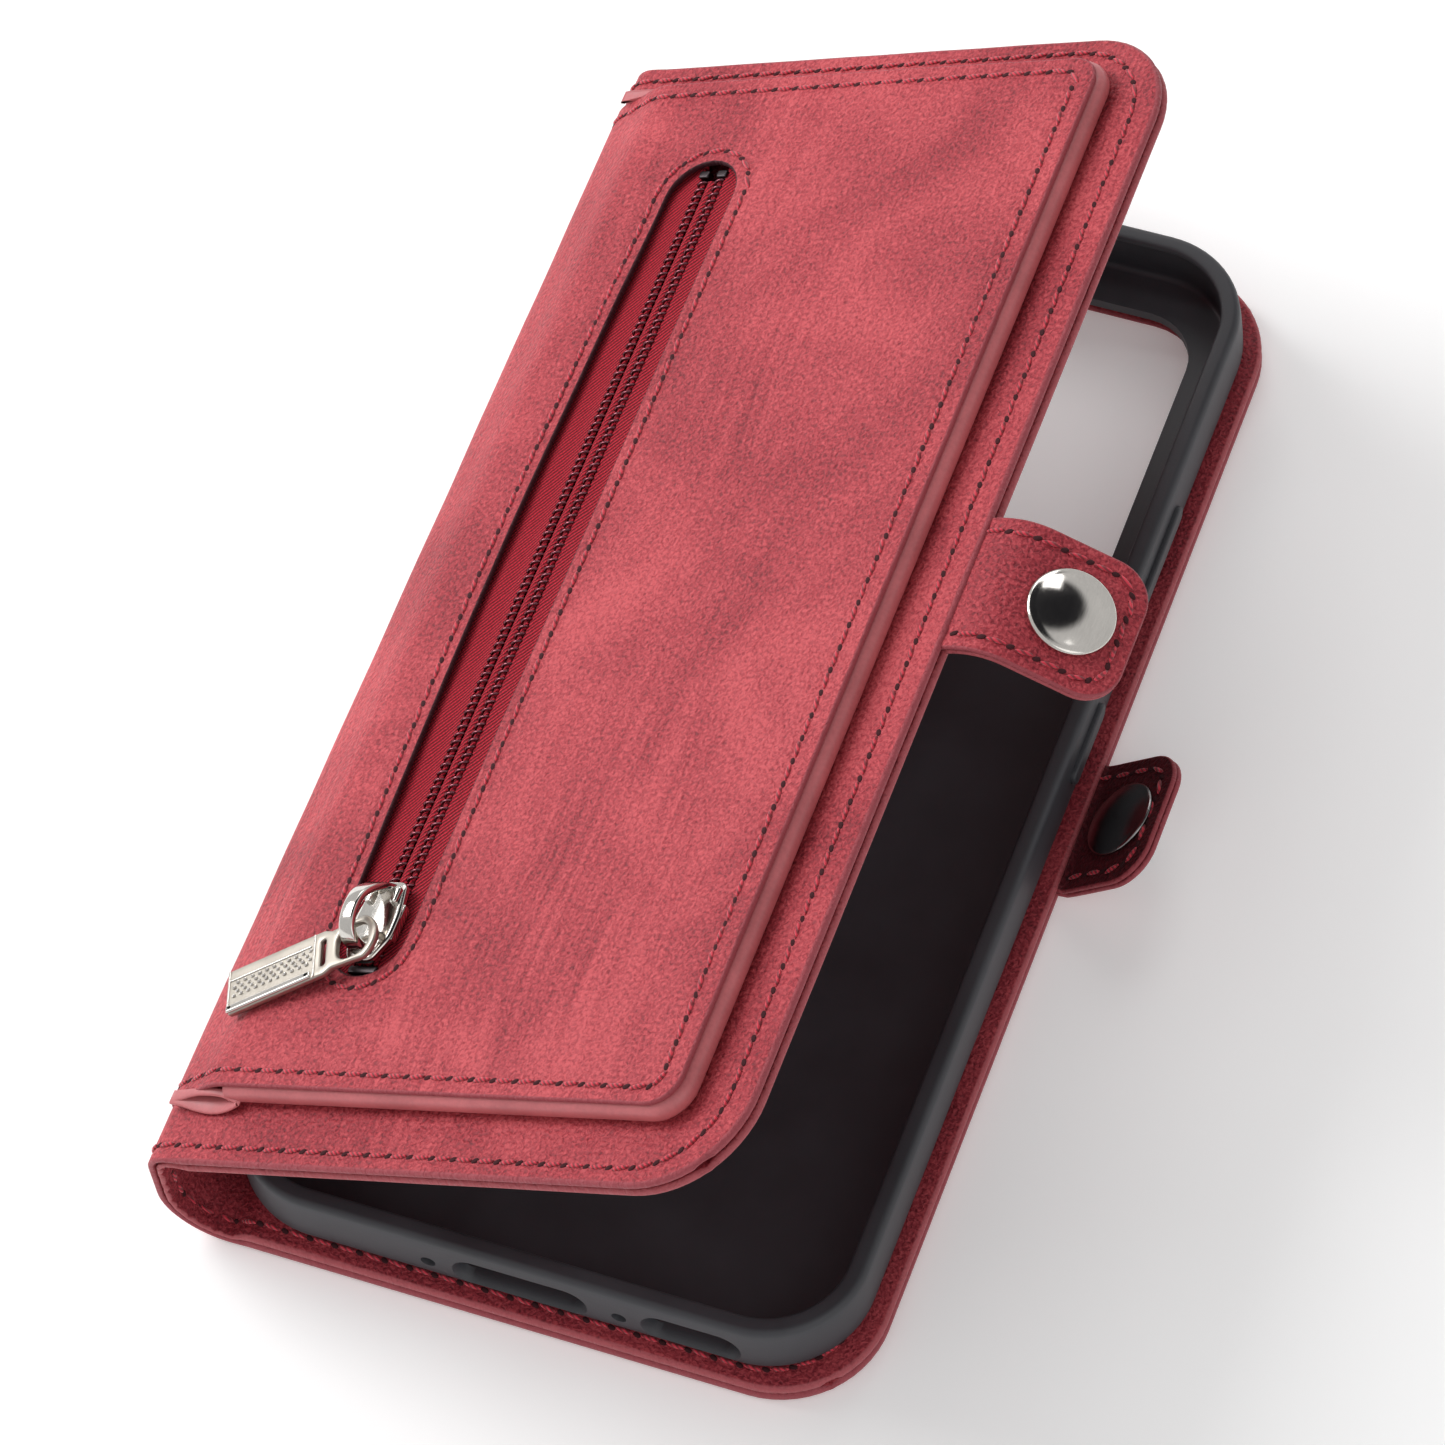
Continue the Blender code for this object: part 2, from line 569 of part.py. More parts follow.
def make_pull(parts, cutters, pivot):
    """Pull: an eye round the slider's bridge and a flat plate with a raised edge."""
    eye = EYE_HOLE / 2 + EYE_BAR
    half = PULL_WIDTH / 2
    neck = EYE_HOLE / 2 + 2 * EYE_BAR
    outline = [(neck, -eye)] + [tuple(p) for p in arc((0, 0), eye, 240, 120)]
    outline += [(neck, eye), (neck + EYE_BAR, half), (PULL_LENGTH - EYE_BAR, half)]
    outline += [(PULL_LENGTH, half - EYE_BAR), (PULL_LENGTH, -half + EYE_BAR)]
    outline += [(PULL_LENGTH - EYE_BAR, -half), (neck + EYE_BAR, -half)]
    pull = plate("zip_pull", [Vector(point) for point in outline], -PULL_THICK / 2, PULL_THICK / 2)
    hang(link(pull, parts, "nickel"), pivot)
    hole = EYE_HOLE / 2
    eye_plan = rounded_outline((-hole, -hole), (hole, hole), (EYE_R,) * 4)
    opening = plate("pull_eye", eye_plan, -PULL_THICK, PULL_THICK)
    band_low = (neck + 2.5 * EYE_BAR, -half + EYE_BAR)
    band_high = (PULL_LENGTH + EYE_BAR, half - EYE_BAR)
    band = plate("pull_band", rounded_outline(band_low, band_high, (0,) * 4),
                 PULL_THICK / 2 - FIT, PULL_THICK)
    for tool in (opening, band):
        hang(link(tool, cutters), pivot)
        boolean(pull, tool)


def bend_point(along, start_turn, bend_turn, bend_length):
    """Centre line of a bent tab: place in X and Z and its direction, at a distance from the fold."""
    first = min(along, BEND_FROM)
    heading = math.radians(start_turn)
    place = Vector((math.cos(heading), math.sin(heading))) * first
    if along > BEND_FROM:
        total = math.radians(bend_turn)
        done = min((along - BEND_FROM) / bend_length, 1.0)
        radius = bend_length / total
        new = heading + total * done
        place += radius * Vector((math.sin(new) - math.sin(heading), math.cos(heading) - math.cos(new)))
        heading = new
        rest = max(along - BEND_FROM - bend_length, 0.0)
        place += Vector((math.cos(heading), math.sin(heading))) * rest
    return place, heading


def bent_ply(name, length, offset_low, offset_high, shape):
    """Tab outline with two round corners, cut into steps and laid along the bent centre line."""
    outline = rounded_outline((0, -TAB_WIDTH / 2), (length, TAB_WIDTH / 2), (TAB_R, 0, 0, TAB_R))
    piece = plate(name, outline, offset_low, offset_high)
    mesh = bmesh.new()
    mesh.from_mesh(piece.data)
    for i in range(ARC_STEPS + 1):
        at = BEND_FROM + shape[2] * i / ARC_STEPS
        everything = mesh.verts[:] + mesh.edges[:] + mesh.faces[:]
        bmesh.ops.bisect_plane(mesh, geom=everything, plane_co=(at, 0, 0), plane_no=(1, 0, 0))
    for vertex in mesh.verts:
        place, heading = bend_point(vertex.co.x, *shape)
        height = vertex.co.z
        vertex.co.x = place.x - math.sin(heading) * height
        vertex.co.z = place.y + math.cos(heading) * height
    mesh.to_mesh(piece.data)
    mesh.free()
    return piece


def snap_frame(name, pivot, along, shape, side):
    """Empty on the bent tab, with Z out of its outer (side 1) or inner (side -1) face."""
    place, heading = bend_point(along, *shape)
    normal = Vector((-math.sin(heading), 0, math.cos(heading))) * side
    centre = Vector((place.x, 0, place.y)) + normal * (TAB_THICK / 2 + FIT)
    frame = empty(name, centre, -heading if side > 0 else math.pi - heading, pivot)
    return frame


def dome_profile(radius, height, foot_r, foot):
    """Domed cap with a short foot into the leather."""
    rise = height - CAP_RIM
    sphere = (radius * radius + rise * rise) / (2 * rise)
    spread = math.degrees(math.asin(radius / sphere))
    points = [(0.0, height)]
    for i in range(1, ARC_STEPS + 1):
        turn = math.radians(spread * i / ARC_STEPS)
        points.append((sphere * math.sin(turn), height - sphere * (1 - math.cos(turn))))
    return points + [(radius, 0.0), (foot_r, 0.0), (foot_r, -foot), (0.0, -foot)]


def disc_profile(radius, height, foot_r, foot):
    """Flat disc with a shallow dish and a short foot into the leather."""
    low = height - MAGNET_EDGE
    points = [(0.0, low), (DISH_R, low), (DISH_R + MAGNET_EDGE, height)]
    points += [(radius - MAGNET_EDGE, height), (radius, low), (radius, 0.0)]
    return points + [(foot_r, 0.0), (foot_r, -foot), (0.0, -foot)]


def magnet_profile(foot):
    """Magnet disc whose foot goes half as deep."""
    return disc_profile(MAGNET_R, MAGNET_HEIGHT, POST_R, foot / 2)


def make_tab(parts, cutters, which, pivot, length, shape, snap_at, up_snap, down_snap):
    """Two leather plies with a snap: one piece on the upper side and one on the lower."""
    gap = FIT / 2
    upper = bent_ply(f"{which}_tab_upper", length, gap, gap + TAB_PLY, shape)
    lower = bent_ply(f"{which}_tab_lower", length, -gap - TAB_PLY, -gap, shape)
    place, heading = bend_point(snap_at, *shape)
    for ply in (upper, lower):
        hang(link(ply, parts, "leather"), pivot)
    hole_r = POST_R + FIT
    ring = [(0.0, 2 * TAB_THICK), (hole_r, 2 * TAB_THICK), (hole_r, -2 * TAB_THICK), (0.0, -2 * TAB_THICK)]
    drill = link(turned(which + "_snap_hole", ring, 16), cutters)
    drill.location = (place.x, 0, place.y)
    drill.rotation_euler = (0, -heading, 0)
    hang(drill, pivot)
    for ply in (upper, lower):
        boolean(ply, drill)
    foot = FIT + TAB_PLY
    for side, (name, look, profile) in ((1, up_snap), (-1, down_snap)):
        frame = snap_frame(name + "_frame", pivot, snap_at, shape, side)
        piece = link(turned(name, profile(foot)), parts, look)
        hang(piece, frame)


def make_tray(parts, cutters):
    """Soft tray that grips the handset, with its ports, camera opening and button covers."""
    half = Vector((TRAY_WIDTH / 2, TRAY_LENGTH / 2))
    centre = Vector((TRAY_X, 0))
    top = TRAY_Z + TRAY_HEIGHT

    def plan(inset, z_low, z_high, name):
        edge = half - Vector((inset, inset))
        radius = TRAY_CORNER_R - inset
        return plate(name, rounded_outline(centre - edge, centre + edge, (radius,) * 4), z_low, z_high)

    tray = link(plan(0, TRAY_Z, top, "phone_tray"), parts, "tray")
    rounding = tray.modifiers.new("Round edges", "BEVEL")
    rounding.width = TRAY_ROUND
    rounding.segments = 3
    rounding.limit_method = "ANGLE"
    rounding.angle_limit = math.radians(60)
    tools = [plan(TRAY_WALL, TRAY_Z + TRAY_FLOOR, top - LIP_HEIGHT, "tray_hollow")]
    tools.append(plan(TRAY_WALL + LIP_REACH, top - LIP_HEIGHT - FIT, top + FIT, "tray_mouth"))
    port_z = TRAY_Z + TRAY_FLOOR + PORT_RISE
    port_low = port_z - PORT_HEIGHT / 2
    port_high = port_low + PORT_HEIGHT
    wall_y = centre.y - half.y
    for name, (shift, width) in (("charge", CHARGE_PORT), ("speaker", SPEAKER_PORT)):
        x = centre.x + shift
        outline = rounded_outline((x - width / 2, port_low), (x + width / 2, port_high),
                                  (PORT_HEIGHT / 2,) * 4)
        tools.append(strip(name + "_port", outline, wall_y - TRAY_WALL, wall_y + 2 * TRAY_WALL))
    for i, (shift, width) in enumerate(MIC_HOLES):
        steps = 2 * ARC_STEPS
        outline = arc((centre.x + shift, port_z), width / 2, 0, 360 - 360 / steps, steps - 1)
        tools.append(strip(f"mic_hole_{i + 1}", outline, wall_y - TRAY_WALL, wall_y + 2 * TRAY_WALL))
    camera_cut(tray, cutters, 0, TRAY_Z - SKIN, TRAY_Z + TRAY_FLOOR + SKIN)
    for tool in tools:
        boolean(tray, link(tool, cutters))
    wall_x = centre.x + half.x
    button_z = TRAY_Z + TRAY_HEIGHT / 2
    for i, (below, length) in enumerate(BUTTONS):
        y = half.y - below
        outline = rounded_outline((y - length / 2, button_z - BUTTON_HEIGHT / 2),
                                  (y + length / 2, button_z + BUTTON_HEIGHT / 2), (BUTTON_R,) * 4)
        bump = rail(f"button_bump_{i + 1}", outline, wall_x - TRAY_WALL / 2, wall_x + BUTTON_PROUD)
        boolean(tray, link(bump, cutters), "UNION")


def main():
    clear_scene()
    parts = new_collection("phone_wallet_case")
    cutters = new_collection("cutters")

    make_back(parts, cutters)
    make_tray(parts, cutters)

    back_fold = polar(LOWER_BEND, SPINE_R, BACK_FOLD)
    front_fold = polar(UPPER_BEND, TOP_R, FRONT_FOLD)
    spine_pivot = empty("spine_back_fold", (back_fold.x, 0, back_fold.y))
    make_spine(parts, spine_pivot)

    cover_pivot = empty("spine_front_fold", (front_fold.x, 0, front_fold.y), -math.radians(FRONT_ANGLE))
    local_fold = polar(Vector((0, -TOP_R)), TOP_R, FRONT_FOLD - FRONT_ANGLE)
    cover = empty("front_cover_frame", (-local_fold.x, 0, -local_fold.y), 0.0, cover_pivot)
    make_front(parts, cutters, cover)
    make_card_pockets(parts, cover)
    make_pocket(parts, cutters, cover)
    make_zip(parts, cover)

    slider_pivot = empty("zip_slide", (WINDOW_X, SLIDER_AT, 0), 0.0, cover)
    make_slider(parts, cutters, slider_pivot)
    pull_z = COIL_TOP + FIT + SLIDER_PLATE + PULL_RISE
    pull_pivot = empty("pull_swing", (0, -PULL_BACK, pull_z), 0.0, slider_pivot)
    drop = Matrix.Rotation(math.radians(PULL_DROP), 4, "Y")
    turn = Matrix.Rotation(math.radians(PULL_TURN), 4, "Z")
    pull_pivot.matrix_local = Matrix.Translation((0, -PULL_BACK, pull_z)) @ turn @ drop
    make_pull(parts, cutters, pull_pivot)

    edge = FRONT_WIDTH + TAB_FOLD
    front_tab = empty("front_tab_fold", (edge, TAB_CENTRE_Y, -FRONT_THICK / 2), 0.0, cover)
    shape = (FRONT_TAB_START, FRONT_TAB_BEND, BEND_LENGTH)
    cap = ("front_snap_cap", "nickel", lambda foot: dome_profile(CAP_R, CAP_HEIGHT, POST_R, foot))
    magnet = ("front_snap_magnet", "magnet", magnet_profile)
    make_tab(parts, cutters, "front", front_tab, FRONT_TAB_LENGTH, shape, FRONT_SNAP_AT, cap, magnet)

    edge = OPENING_X + TAB_FOLD
    back_tab = empty("back_tab_fold", (edge, TAB_CENTRE_Y, BACK_THICK / 2))
    shape = (BACK_TAB_START, BACK_TAB_BEND, BACK_BEND_LENGTH)
    disc = ("back_snap_disc", "magnet", lambda foot: dome_profile(DISC_R, DISC_HEIGHT, POST_R, foot))
    magnet = ("back_snap_magnet", "magnet", magnet_profile)
    make_tab(parts, cutters, "back", back_tab, BACK_TAB_LENGTH, shape, BACK_SNAP_AT, disc, magnet)

    for piece in parts.objects:
        piece.data.shade_smooth()
        piece.data.set_sharp_from_angle(angle=math.radians(35))


main()
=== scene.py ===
import math

import bmesh
import bpy
import numpy as np
from mathutils import Matrix, Vector, noise
from mathutils.geometry import delaunay_2d_cdt
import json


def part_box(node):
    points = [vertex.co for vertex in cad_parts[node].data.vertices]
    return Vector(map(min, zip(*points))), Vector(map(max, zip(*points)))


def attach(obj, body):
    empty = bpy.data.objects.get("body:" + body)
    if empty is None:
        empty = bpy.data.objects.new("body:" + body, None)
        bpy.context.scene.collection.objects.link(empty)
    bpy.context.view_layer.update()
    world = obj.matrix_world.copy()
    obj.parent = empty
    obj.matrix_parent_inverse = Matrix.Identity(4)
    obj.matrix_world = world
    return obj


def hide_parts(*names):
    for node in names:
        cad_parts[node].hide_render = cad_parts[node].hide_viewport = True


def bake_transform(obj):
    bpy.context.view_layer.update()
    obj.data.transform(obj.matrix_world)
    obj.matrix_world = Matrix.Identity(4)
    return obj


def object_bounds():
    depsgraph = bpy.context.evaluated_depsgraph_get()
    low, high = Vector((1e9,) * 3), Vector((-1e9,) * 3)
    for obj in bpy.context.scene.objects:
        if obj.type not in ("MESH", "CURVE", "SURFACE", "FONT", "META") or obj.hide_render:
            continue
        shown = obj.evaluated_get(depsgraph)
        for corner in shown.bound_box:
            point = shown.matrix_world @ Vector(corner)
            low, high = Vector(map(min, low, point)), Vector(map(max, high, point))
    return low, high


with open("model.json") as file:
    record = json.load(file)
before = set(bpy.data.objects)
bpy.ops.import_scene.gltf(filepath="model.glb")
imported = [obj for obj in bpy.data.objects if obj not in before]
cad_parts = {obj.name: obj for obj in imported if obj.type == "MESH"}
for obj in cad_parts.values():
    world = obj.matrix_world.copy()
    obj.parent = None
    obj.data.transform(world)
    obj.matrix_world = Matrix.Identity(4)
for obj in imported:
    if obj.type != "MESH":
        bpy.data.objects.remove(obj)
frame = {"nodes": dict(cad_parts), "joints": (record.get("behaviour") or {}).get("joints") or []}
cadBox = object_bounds()

mm = 0.001
uvUnit = 0.1             # metres of flat leather to one unit of its UV map
joints = {joint["name"]: joint for joint in frame["joints"]}

# the covers and the spine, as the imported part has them
case = dict(
    halfLength=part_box("front_outer_panel")[1].y,
    openingX=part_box("back_outer_panel")[1].x,
    spineX=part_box("spine_outer")[0].x,
    spineR=8.1 * mm,
    spineTop=14.5 * mm,
    topR=4.0 * mm,
    cornerR=13.0 * mm,
    frontWidth=81.7 * mm,
    frontThick=2.6 * mm,
    backThick=3.2 * mm,
    gap=0.3 * mm,
)
coverNormal = Vector(joints["pull_swing"]["axis"]).normalized()
coverAcross = Vector((coverNormal.z, 0, -coverNormal.x))
coverTilt = math.atan2(coverAcross.z, coverAcross.x)
topCentre = Vector((case["spineX"] + case["topR"], 0, case["spineTop"]))
lowCentre = Vector((case["spineX"] + case["spineR"], 0, case["spineR"]))
coverOrigin = topCentre + coverNormal * case["topR"]

# lengths along the outer leather, counted from the start of the front cover's flat
topArc = case["topR"] * (math.pi / 2 - coverTilt)
upright = case["spineTop"] - case["spineR"]
lowArc = case["spineR"] * math.pi / 2
backFlat = case["openingX"] - lowCentre.x
uprightStart = -topArc
lowStart = uprightStart - upright
flatStart = lowStart - lowArc
backEnd = flatStart - backFlat
spineSplit = uprightStart - upright * 0.55


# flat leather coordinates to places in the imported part

def wrap(points):
    # along the leather, along the length, height above its outer face
    s, y, h = points[:, 0], points[:, 1], points[:, 2]
    x = np.empty_like(s)
    z = np.empty_like(s)
    flat = s >= 0
    x[flat] = coverOrigin.x + s[flat] * coverAcross.x + h[flat] * coverNormal.x
    z[flat] = coverOrigin.z + s[flat] * coverAcross.z + h[flat] * coverNormal.z
    bend = (s < 0) & (s >= uprightStart)
    turn = math.pi / 2 + coverTilt - s[bend] / case["topR"]
    x[bend] = topCentre.x + (case["topR"] + h[bend]) * np.cos(turn)
    z[bend] = topCentre.z + (case["topR"] + h[bend]) * np.sin(turn)
    up = (s < uprightStart) & (s >= lowStart)
    x[up] = case["spineX"] - h[up]
    z[up] = case["spineTop"] + (s[up] - uprightStart)
    low = (s < lowStart) & (s >= flatStart)
    turn = math.pi - (s[low] - lowStart) / case["spineR"]
    x[low] = lowCentre.x + (case["spineR"] + h[low]) * np.cos(turn)
    z[low] = lowCentre.z + (case["spineR"] + h[low]) * np.sin(turn)
    base = s < flatStart
    x[base] = lowCentre.x + (flatStart - s[base])
    z[base] = -h[base]
    return np.stack([x, y, z], 1)


def onCover(points):
    a, b, d = points[:, 0:1], points[:, 1:2], points[:, 2:3]
    origin = np.array(coverOrigin)
    return origin + a * np.array(coverAcross) + b * np.array((0, 1, 0)) + d * np.array(coverNormal)


def placed(matrix):
    turn = np.array(matrix.to_3x3())
    shift = np.array(matrix.translation)
    return lambda points: points @ turn.T + shift


# outlines, as lists of flat points

def arcPoints(centre, radius, start, end, steps):
    turns = np.radians(np.linspace(start, end, steps + 1))
    return [(centre[0] + radius * math.cos(t), centre[1] + radius * math.sin(t)) for t in turns]


def roundedLoop(low, high, radii, steps=10):
    # radii: right-top, left-top, left-bottom, right-bottom
    points = []
    for i, (sx, sy) in enumerate(((1, 1), (-1, 1), (-1, -1), (1, -1))):
        corner = (high[0] if sx > 0 else low[0], high[1] if sy > 0 else low[1])
        r = radii[i]
        if r <= 0:
            points.append(corner)
        else:
            points += arcPoints((corner[0] - sx * r, corner[1] - sy * r), r, 90 * i, 90 * i + 90, steps)
    return points


def openAt(loop, x):
    # the loop without its straight side at x
    corner = next(i for i, p in enumerate(loop) if abs(p[0] - x) < 1e-9)
    return loop[corner + 1:] + loop[:corner + 1]


def splitLong(points, spacing, closed=True):
    result = []
    count = len(points) if closed else len(points) - 1
    for i in range(count):
        a = np.array(points[i], float)
        b = np.array(points[(i + 1) % len(points)], float)
        pieces = max(1, int(math.ceil(np.linalg.norm(b - a) / spacing)))
        result += [tuple(a + (b - a) * k / pieces) for k in range(pieces)]
    if not closed:
        result.append(tuple(points[-1]))
    return result


def outwardNormals(points):
    p = np.array(points, float)
    before = p - np.roll(p, 1, 0)
    after = np.roll(p, -1, 0) - p
    before /= np.linalg.norm(before, axis=1)[:, None]
    after /= np.linalg.norm(after, axis=1)[:, None]
    n1 = np.stack([before[:, 1], -before[:, 0]], 1)
    n2 = np.stack([after[:, 1], -after[:, 0]], 1)
    mean = n1 + n2
    mean /= np.linalg.norm(mean, axis=1)[:, None]
    return mean / np.maximum((mean * n1).sum(1), 0.5)[:, None]


def insideLoop(points, loop):
    x, y = points[:, 0], points[:, 1]
    inside = np.zeros(len(points), bool)
    for i in range(len(loop)):
        x1, y1 = loop[i]
        x2, y2 = loop[(i + 1) % len(loop)]
        if y1 == y2:
            continue
        hit = (y1 > y) != (y2 > y)
        inside ^= hit & (x < (x2 - x1) * (y - y1) / (y2 - y1) + x1)
    return inside


def distanceTo(points, path, closed=True):
    p = np.array(path, float)
    a = p if closed else p[:-1]
    b = np.roll(p, -1, 0) if closed else p[1:]
    best = np.full(len(points), 1e9)
    for start, end in zip(a, b):
        along = end - start
        size = max(along @ along, 1e-18)
        t = np.clip(((points - start) @ along) / size, 0, 1)
        best = np.minimum(best, np.linalg.norm(points - start - t[:, None] * along, axis=1))
    return best


# meshes

def meshObject(name, verts, faces, material, smooth=True):
    mesh = bpy.data.meshes.new(name)
    mesh.from_pydata([tuple(v) for v in verts], [], faces)
    piece = bpy.data.objects.new(name, mesh)
    bpy.context.scene.collection.objects.link(piece)
    tidyMesh(piece)
    if material:
        mesh.materials.append(material)
    if smooth:
        mesh.shade_smooth()
        mesh.set_sharp_from_angle(angle=math.radians(50))
    return piece


def tidyMesh(piece):
    work = bmesh.new()
    work.from_mesh(piece.data)
    bmesh.ops.recalc_face_normals(work, faces=work.faces)
    if work.calc_volume(signed=True) < 0:
        bmesh.ops.reverse_faces(work, faces=work.faces)
    work.to_mesh(piece.data)
    work.free()


def capFaces(loops, interior):
    # triangles inside the first loop and outside the others, over the loops' points and then the interior's
    points, edges = [], []
    for loop in loops:
        start = len(points)
        points += [Vector(p) for p in loop]
        edges += [(start + i, start + (i + 1) % len(loop)) for i in range(len(loop))]
    points += [Vector(p) for p in interior]
    verts, _, faces, origin, _, _ = delaunay_2d_cdt(points, edges, [], 0, 1e-9)
    source = [o[0] if o else -1 for o in origin]
    centres = np.array([sum((verts[i] for i in f), Vector((0, 0))) / len(f) for f in faces])
    keep = insideLoop(centres, [tuple(p) for p in loops[0]])
    for hole in loops[1:]:
        keep &= ~insideLoop(centres, [tuple(p) for p in hole])
    picked = [[source[i] for i in f] for f, k in zip(faces, keep) if k]
    return [f for f in picked if -1 not in f]


def panel(name, loops, place, thick, material, spacing=3 * mm, edgeR=0.35 * mm,
          openSide=None, stitchLines=(), puckers=0.12 * mm, ripple=0.0, shape=None, gridStep=None):
    # A sheet with rounded edges, made flat and then put in place.
    # thick gives its lower and upper height, either fixed or as a function of the flat points.
    loops = [splitLong(loop, spacing) for loop in loops]
    normals = [outwardNormals(loop) for loop in loops]
    if openSide is not None:            # a side that meets the next piece stays square
        for loop, normal in zip(loops, normals):
            at = np.abs(np.array(loop)[:, 0] - openSide) < 1e-7
            ends = at & (np.abs(np.array(loop)[:, 1]) > np.abs(np.array(loop)[:, 1]).max() - 1e-7)
            normal[at & ~ends] = 0
            normal[ends, 0] = 0
            normal[ends, 1] = np.sign(np.array(loop)[ends, 1])
    radii = []
    for loop in loops:                  # the rounding is never more than half the thickness
        at = thick(np.array(loop)) if callable(thick) else thick
        depth = np.zeros(len(loop)) + at[1] - at[0]
        radii.append(np.minimum(edgeR, depth * 0.48))
    inset = [np.array(loop) - normal * r[:, None] for loop, normal, r in zip(loops, normals, radii)]
    stepX, stepY = gridStep or (spacing, spacing)
    low, high = inset[0].min(0), inset[0].max(0)
    cols = max(2, int((high[0] - low[0]) / stepX))
    rows = max(2, int((high[1] - low[1]) / stepY))
    grid = np.stack(np.meshgrid(np.linspace(low[0], high[0], cols + 1)[1:-1],
                                np.linspace(low[1], high[1], rows + 1)[1:-1]), -1).reshape(-1, 2)
    grid = grid + 1e-6 * np.sin(grid * 7e4)
    extra = []
    for line in stitchLines:
        line = np.array(splitLong(line, 1.6 * mm, False))
        away = np.roll(line, -1, 0) - line
        away[-1] = away[-2]
        away /= np.linalg.norm(away, axis=1)[:, None]
        side = np.stack([away[:, 1], -away[:, 0]], 1)
        for shift in (-0.75 * mm, 0, 0.75 * mm):
            extra.append(line + side * shift)
    if extra:
        lines = np.concatenate(extra)
        near = np.min(np.linalg.norm(grid[:, None] - lines[None, ::2], axis=2), 1) < 1.0 * mm
        grid = np.concatenate([grid[~near], lines])
    keep = insideLoop(grid, [tuple(p) for p in inset[0]])
    for hole in inset[1:]:
        keep &= ~insideLoop(grid, [tuple(p) for p in hole])
    for loop in inset:
        keep &= distanceTo(grid, loop) > min(stepX, stepY) * 0.35
    grid = grid[keep]
    faces = capFaces(inset, grid)
    cap = np.concatenate(inset + [grid])
    verts, edgeMark = [], []

    def heights(flat, top):
        pair = thick(flat) if callable(thick) else thick
        value = np.full(len(flat), 0.0) + pair[1 if top else 0]
        if top and stitchLines:
            distance = np.full(len(flat), 1e9)
            for line in stitchLines:
                distance = np.minimum(distance, distanceTo(flat, line, False))
            value = value - puckers * np.exp(-(distance / (0.45 * mm)) ** 2)
        if top and ripple:
            value = value + ripple * np.array([noise.noise((p[0] * 110, p[1] * 70, 3.1)) for p in flat])
        return value

    top = np.column_stack([cap, heights(cap, True)])
    bottom = np.column_stack([cap, heights(cap, False)])
    verts += list(top) + list(bottom)
    edgeMark += [0.0] * (2 * len(cap))
    allFaces = [tuple(f) for f in faces] + [tuple(i + len(cap) for i in f[::-1]) for f in faces]
    arcSteps = 4
    offset = 0
    for loop, normal, r in zip(loops, normals, radii):
        base = np.array(loop)
        flat = base - normal * r[:, None]
        highs, lows = heights(flat, True), heights(flat, False)
        rings = [list(range(offset, offset + len(loop)))]
        for k in range(1, arcSteps + 1):
            turn = math.pi / 2 * (1 - k / arcSteps)
            out = base - normal * (r * (1 - math.cos(turn)))[:, None]
            start = len(verts)
            verts += list(np.column_stack([out, highs - r * (1 - math.sin(turn))]))
            edgeMark += [1.0] * len(loop)
            rings.append(list(range(start, start + len(loop))))
        for k in range(arcSteps):
            turn = math.pi / 2 * (k / arcSteps)
            out = base - normal * (r * (1 - math.cos(turn)))[:, None]
            start = len(verts)
            verts += list(np.column_stack([out, lows + r * (1 - math.sin(turn))]))
            edgeMark += [1.0] * len(loop)
            rings.append(list(range(start, start + len(loop))))
        rings.append(list(range(len(cap) + offset, len(cap) + offset + len(loop))))
        for first, second in zip(rings, rings[1:]):
            for i in range(len(loop)):
                j = (i + 1) % len(loop)
                allFaces.append((first[i], second[i], second[j], first[j]))
        offset += len(loop)
    flatVerts = np.array(verts)
    if shape:
        flatVerts = shape(flatVerts)
    piece = meshObject(name, place(flatVerts), allFaces, material)
    setFlatUv(piece, np.array(verts))
    mark = piece.data.attributes.new("edge", "FLOAT", "POINT")
    mark.data.foreach_set("value", np.array(edgeMark, np.float32))
    return piece


def setFlatUv(piece, flat):
    # UVs on the flat leather, so that a pattern follows the bends
    layer = piece.data.uv_layers.new(name="flat")
    corners = np.empty(len(piece.data.loops), int)
    piece.data.loops.foreach_get("vertex_index", corners)
    layer.data.foreach_set("uv", (flat[corners, :2] / uvUnit).astype(np.float32).ravel())


def sweep(name, rings, place, material, closed=False):
    # rings of equal length, joined one to the next
    count = len(rings[0])
    verts = [p for ring in rings for p in ring]
    faces = []
    total = len(rings) if closed else len(rings) - 1
    for k in range(total):
        a, b = k * count, ((k + 1) % len(rings)) * count
        for i in range(count):
            j = (i + 1) % count
            faces.append((a + i, a + j, b + j, b + i))
    if not closed:
        faces.append(tuple(range(count))[::-1])
        faces.append(tuple(range((len(rings) - 1) * count, len(rings) * count)))
    return meshObject(name, place(np.array(verts, float)), faces, material)


def lathe(name, profile, place, material, steps=64):
    # profile from the top of the axis to its foot
    rings = []
    for radius, height in profile[1:-1]:
        turns = np.linspace(0, 2 * math.pi, steps, endpoint=False)
        rings.append([(radius * math.cos(t), radius * math.sin(t), height) for t in turns])
    verts = [p for ring in rings for p in ring] + [(0, 0, profile[0][1]), (0, 0, profile[-1][1])]
    faces = []
    for k in range(len(rings) - 1):
        for i in range(steps):
            j = (i + 1) % steps
            faces.append((k * steps + i, (k + 1) * steps + i, (k + 1) * steps + j, k * steps + j))
    last = (len(rings) - 1) * steps
    for i in range(steps):
        j = (i + 1) % steps
        faces.append((i, j, len(verts) - 2))
        faces.append((last + j, last + i, len(verts) - 1))
    return meshObject(name, place(np.array(verts)), faces, material)


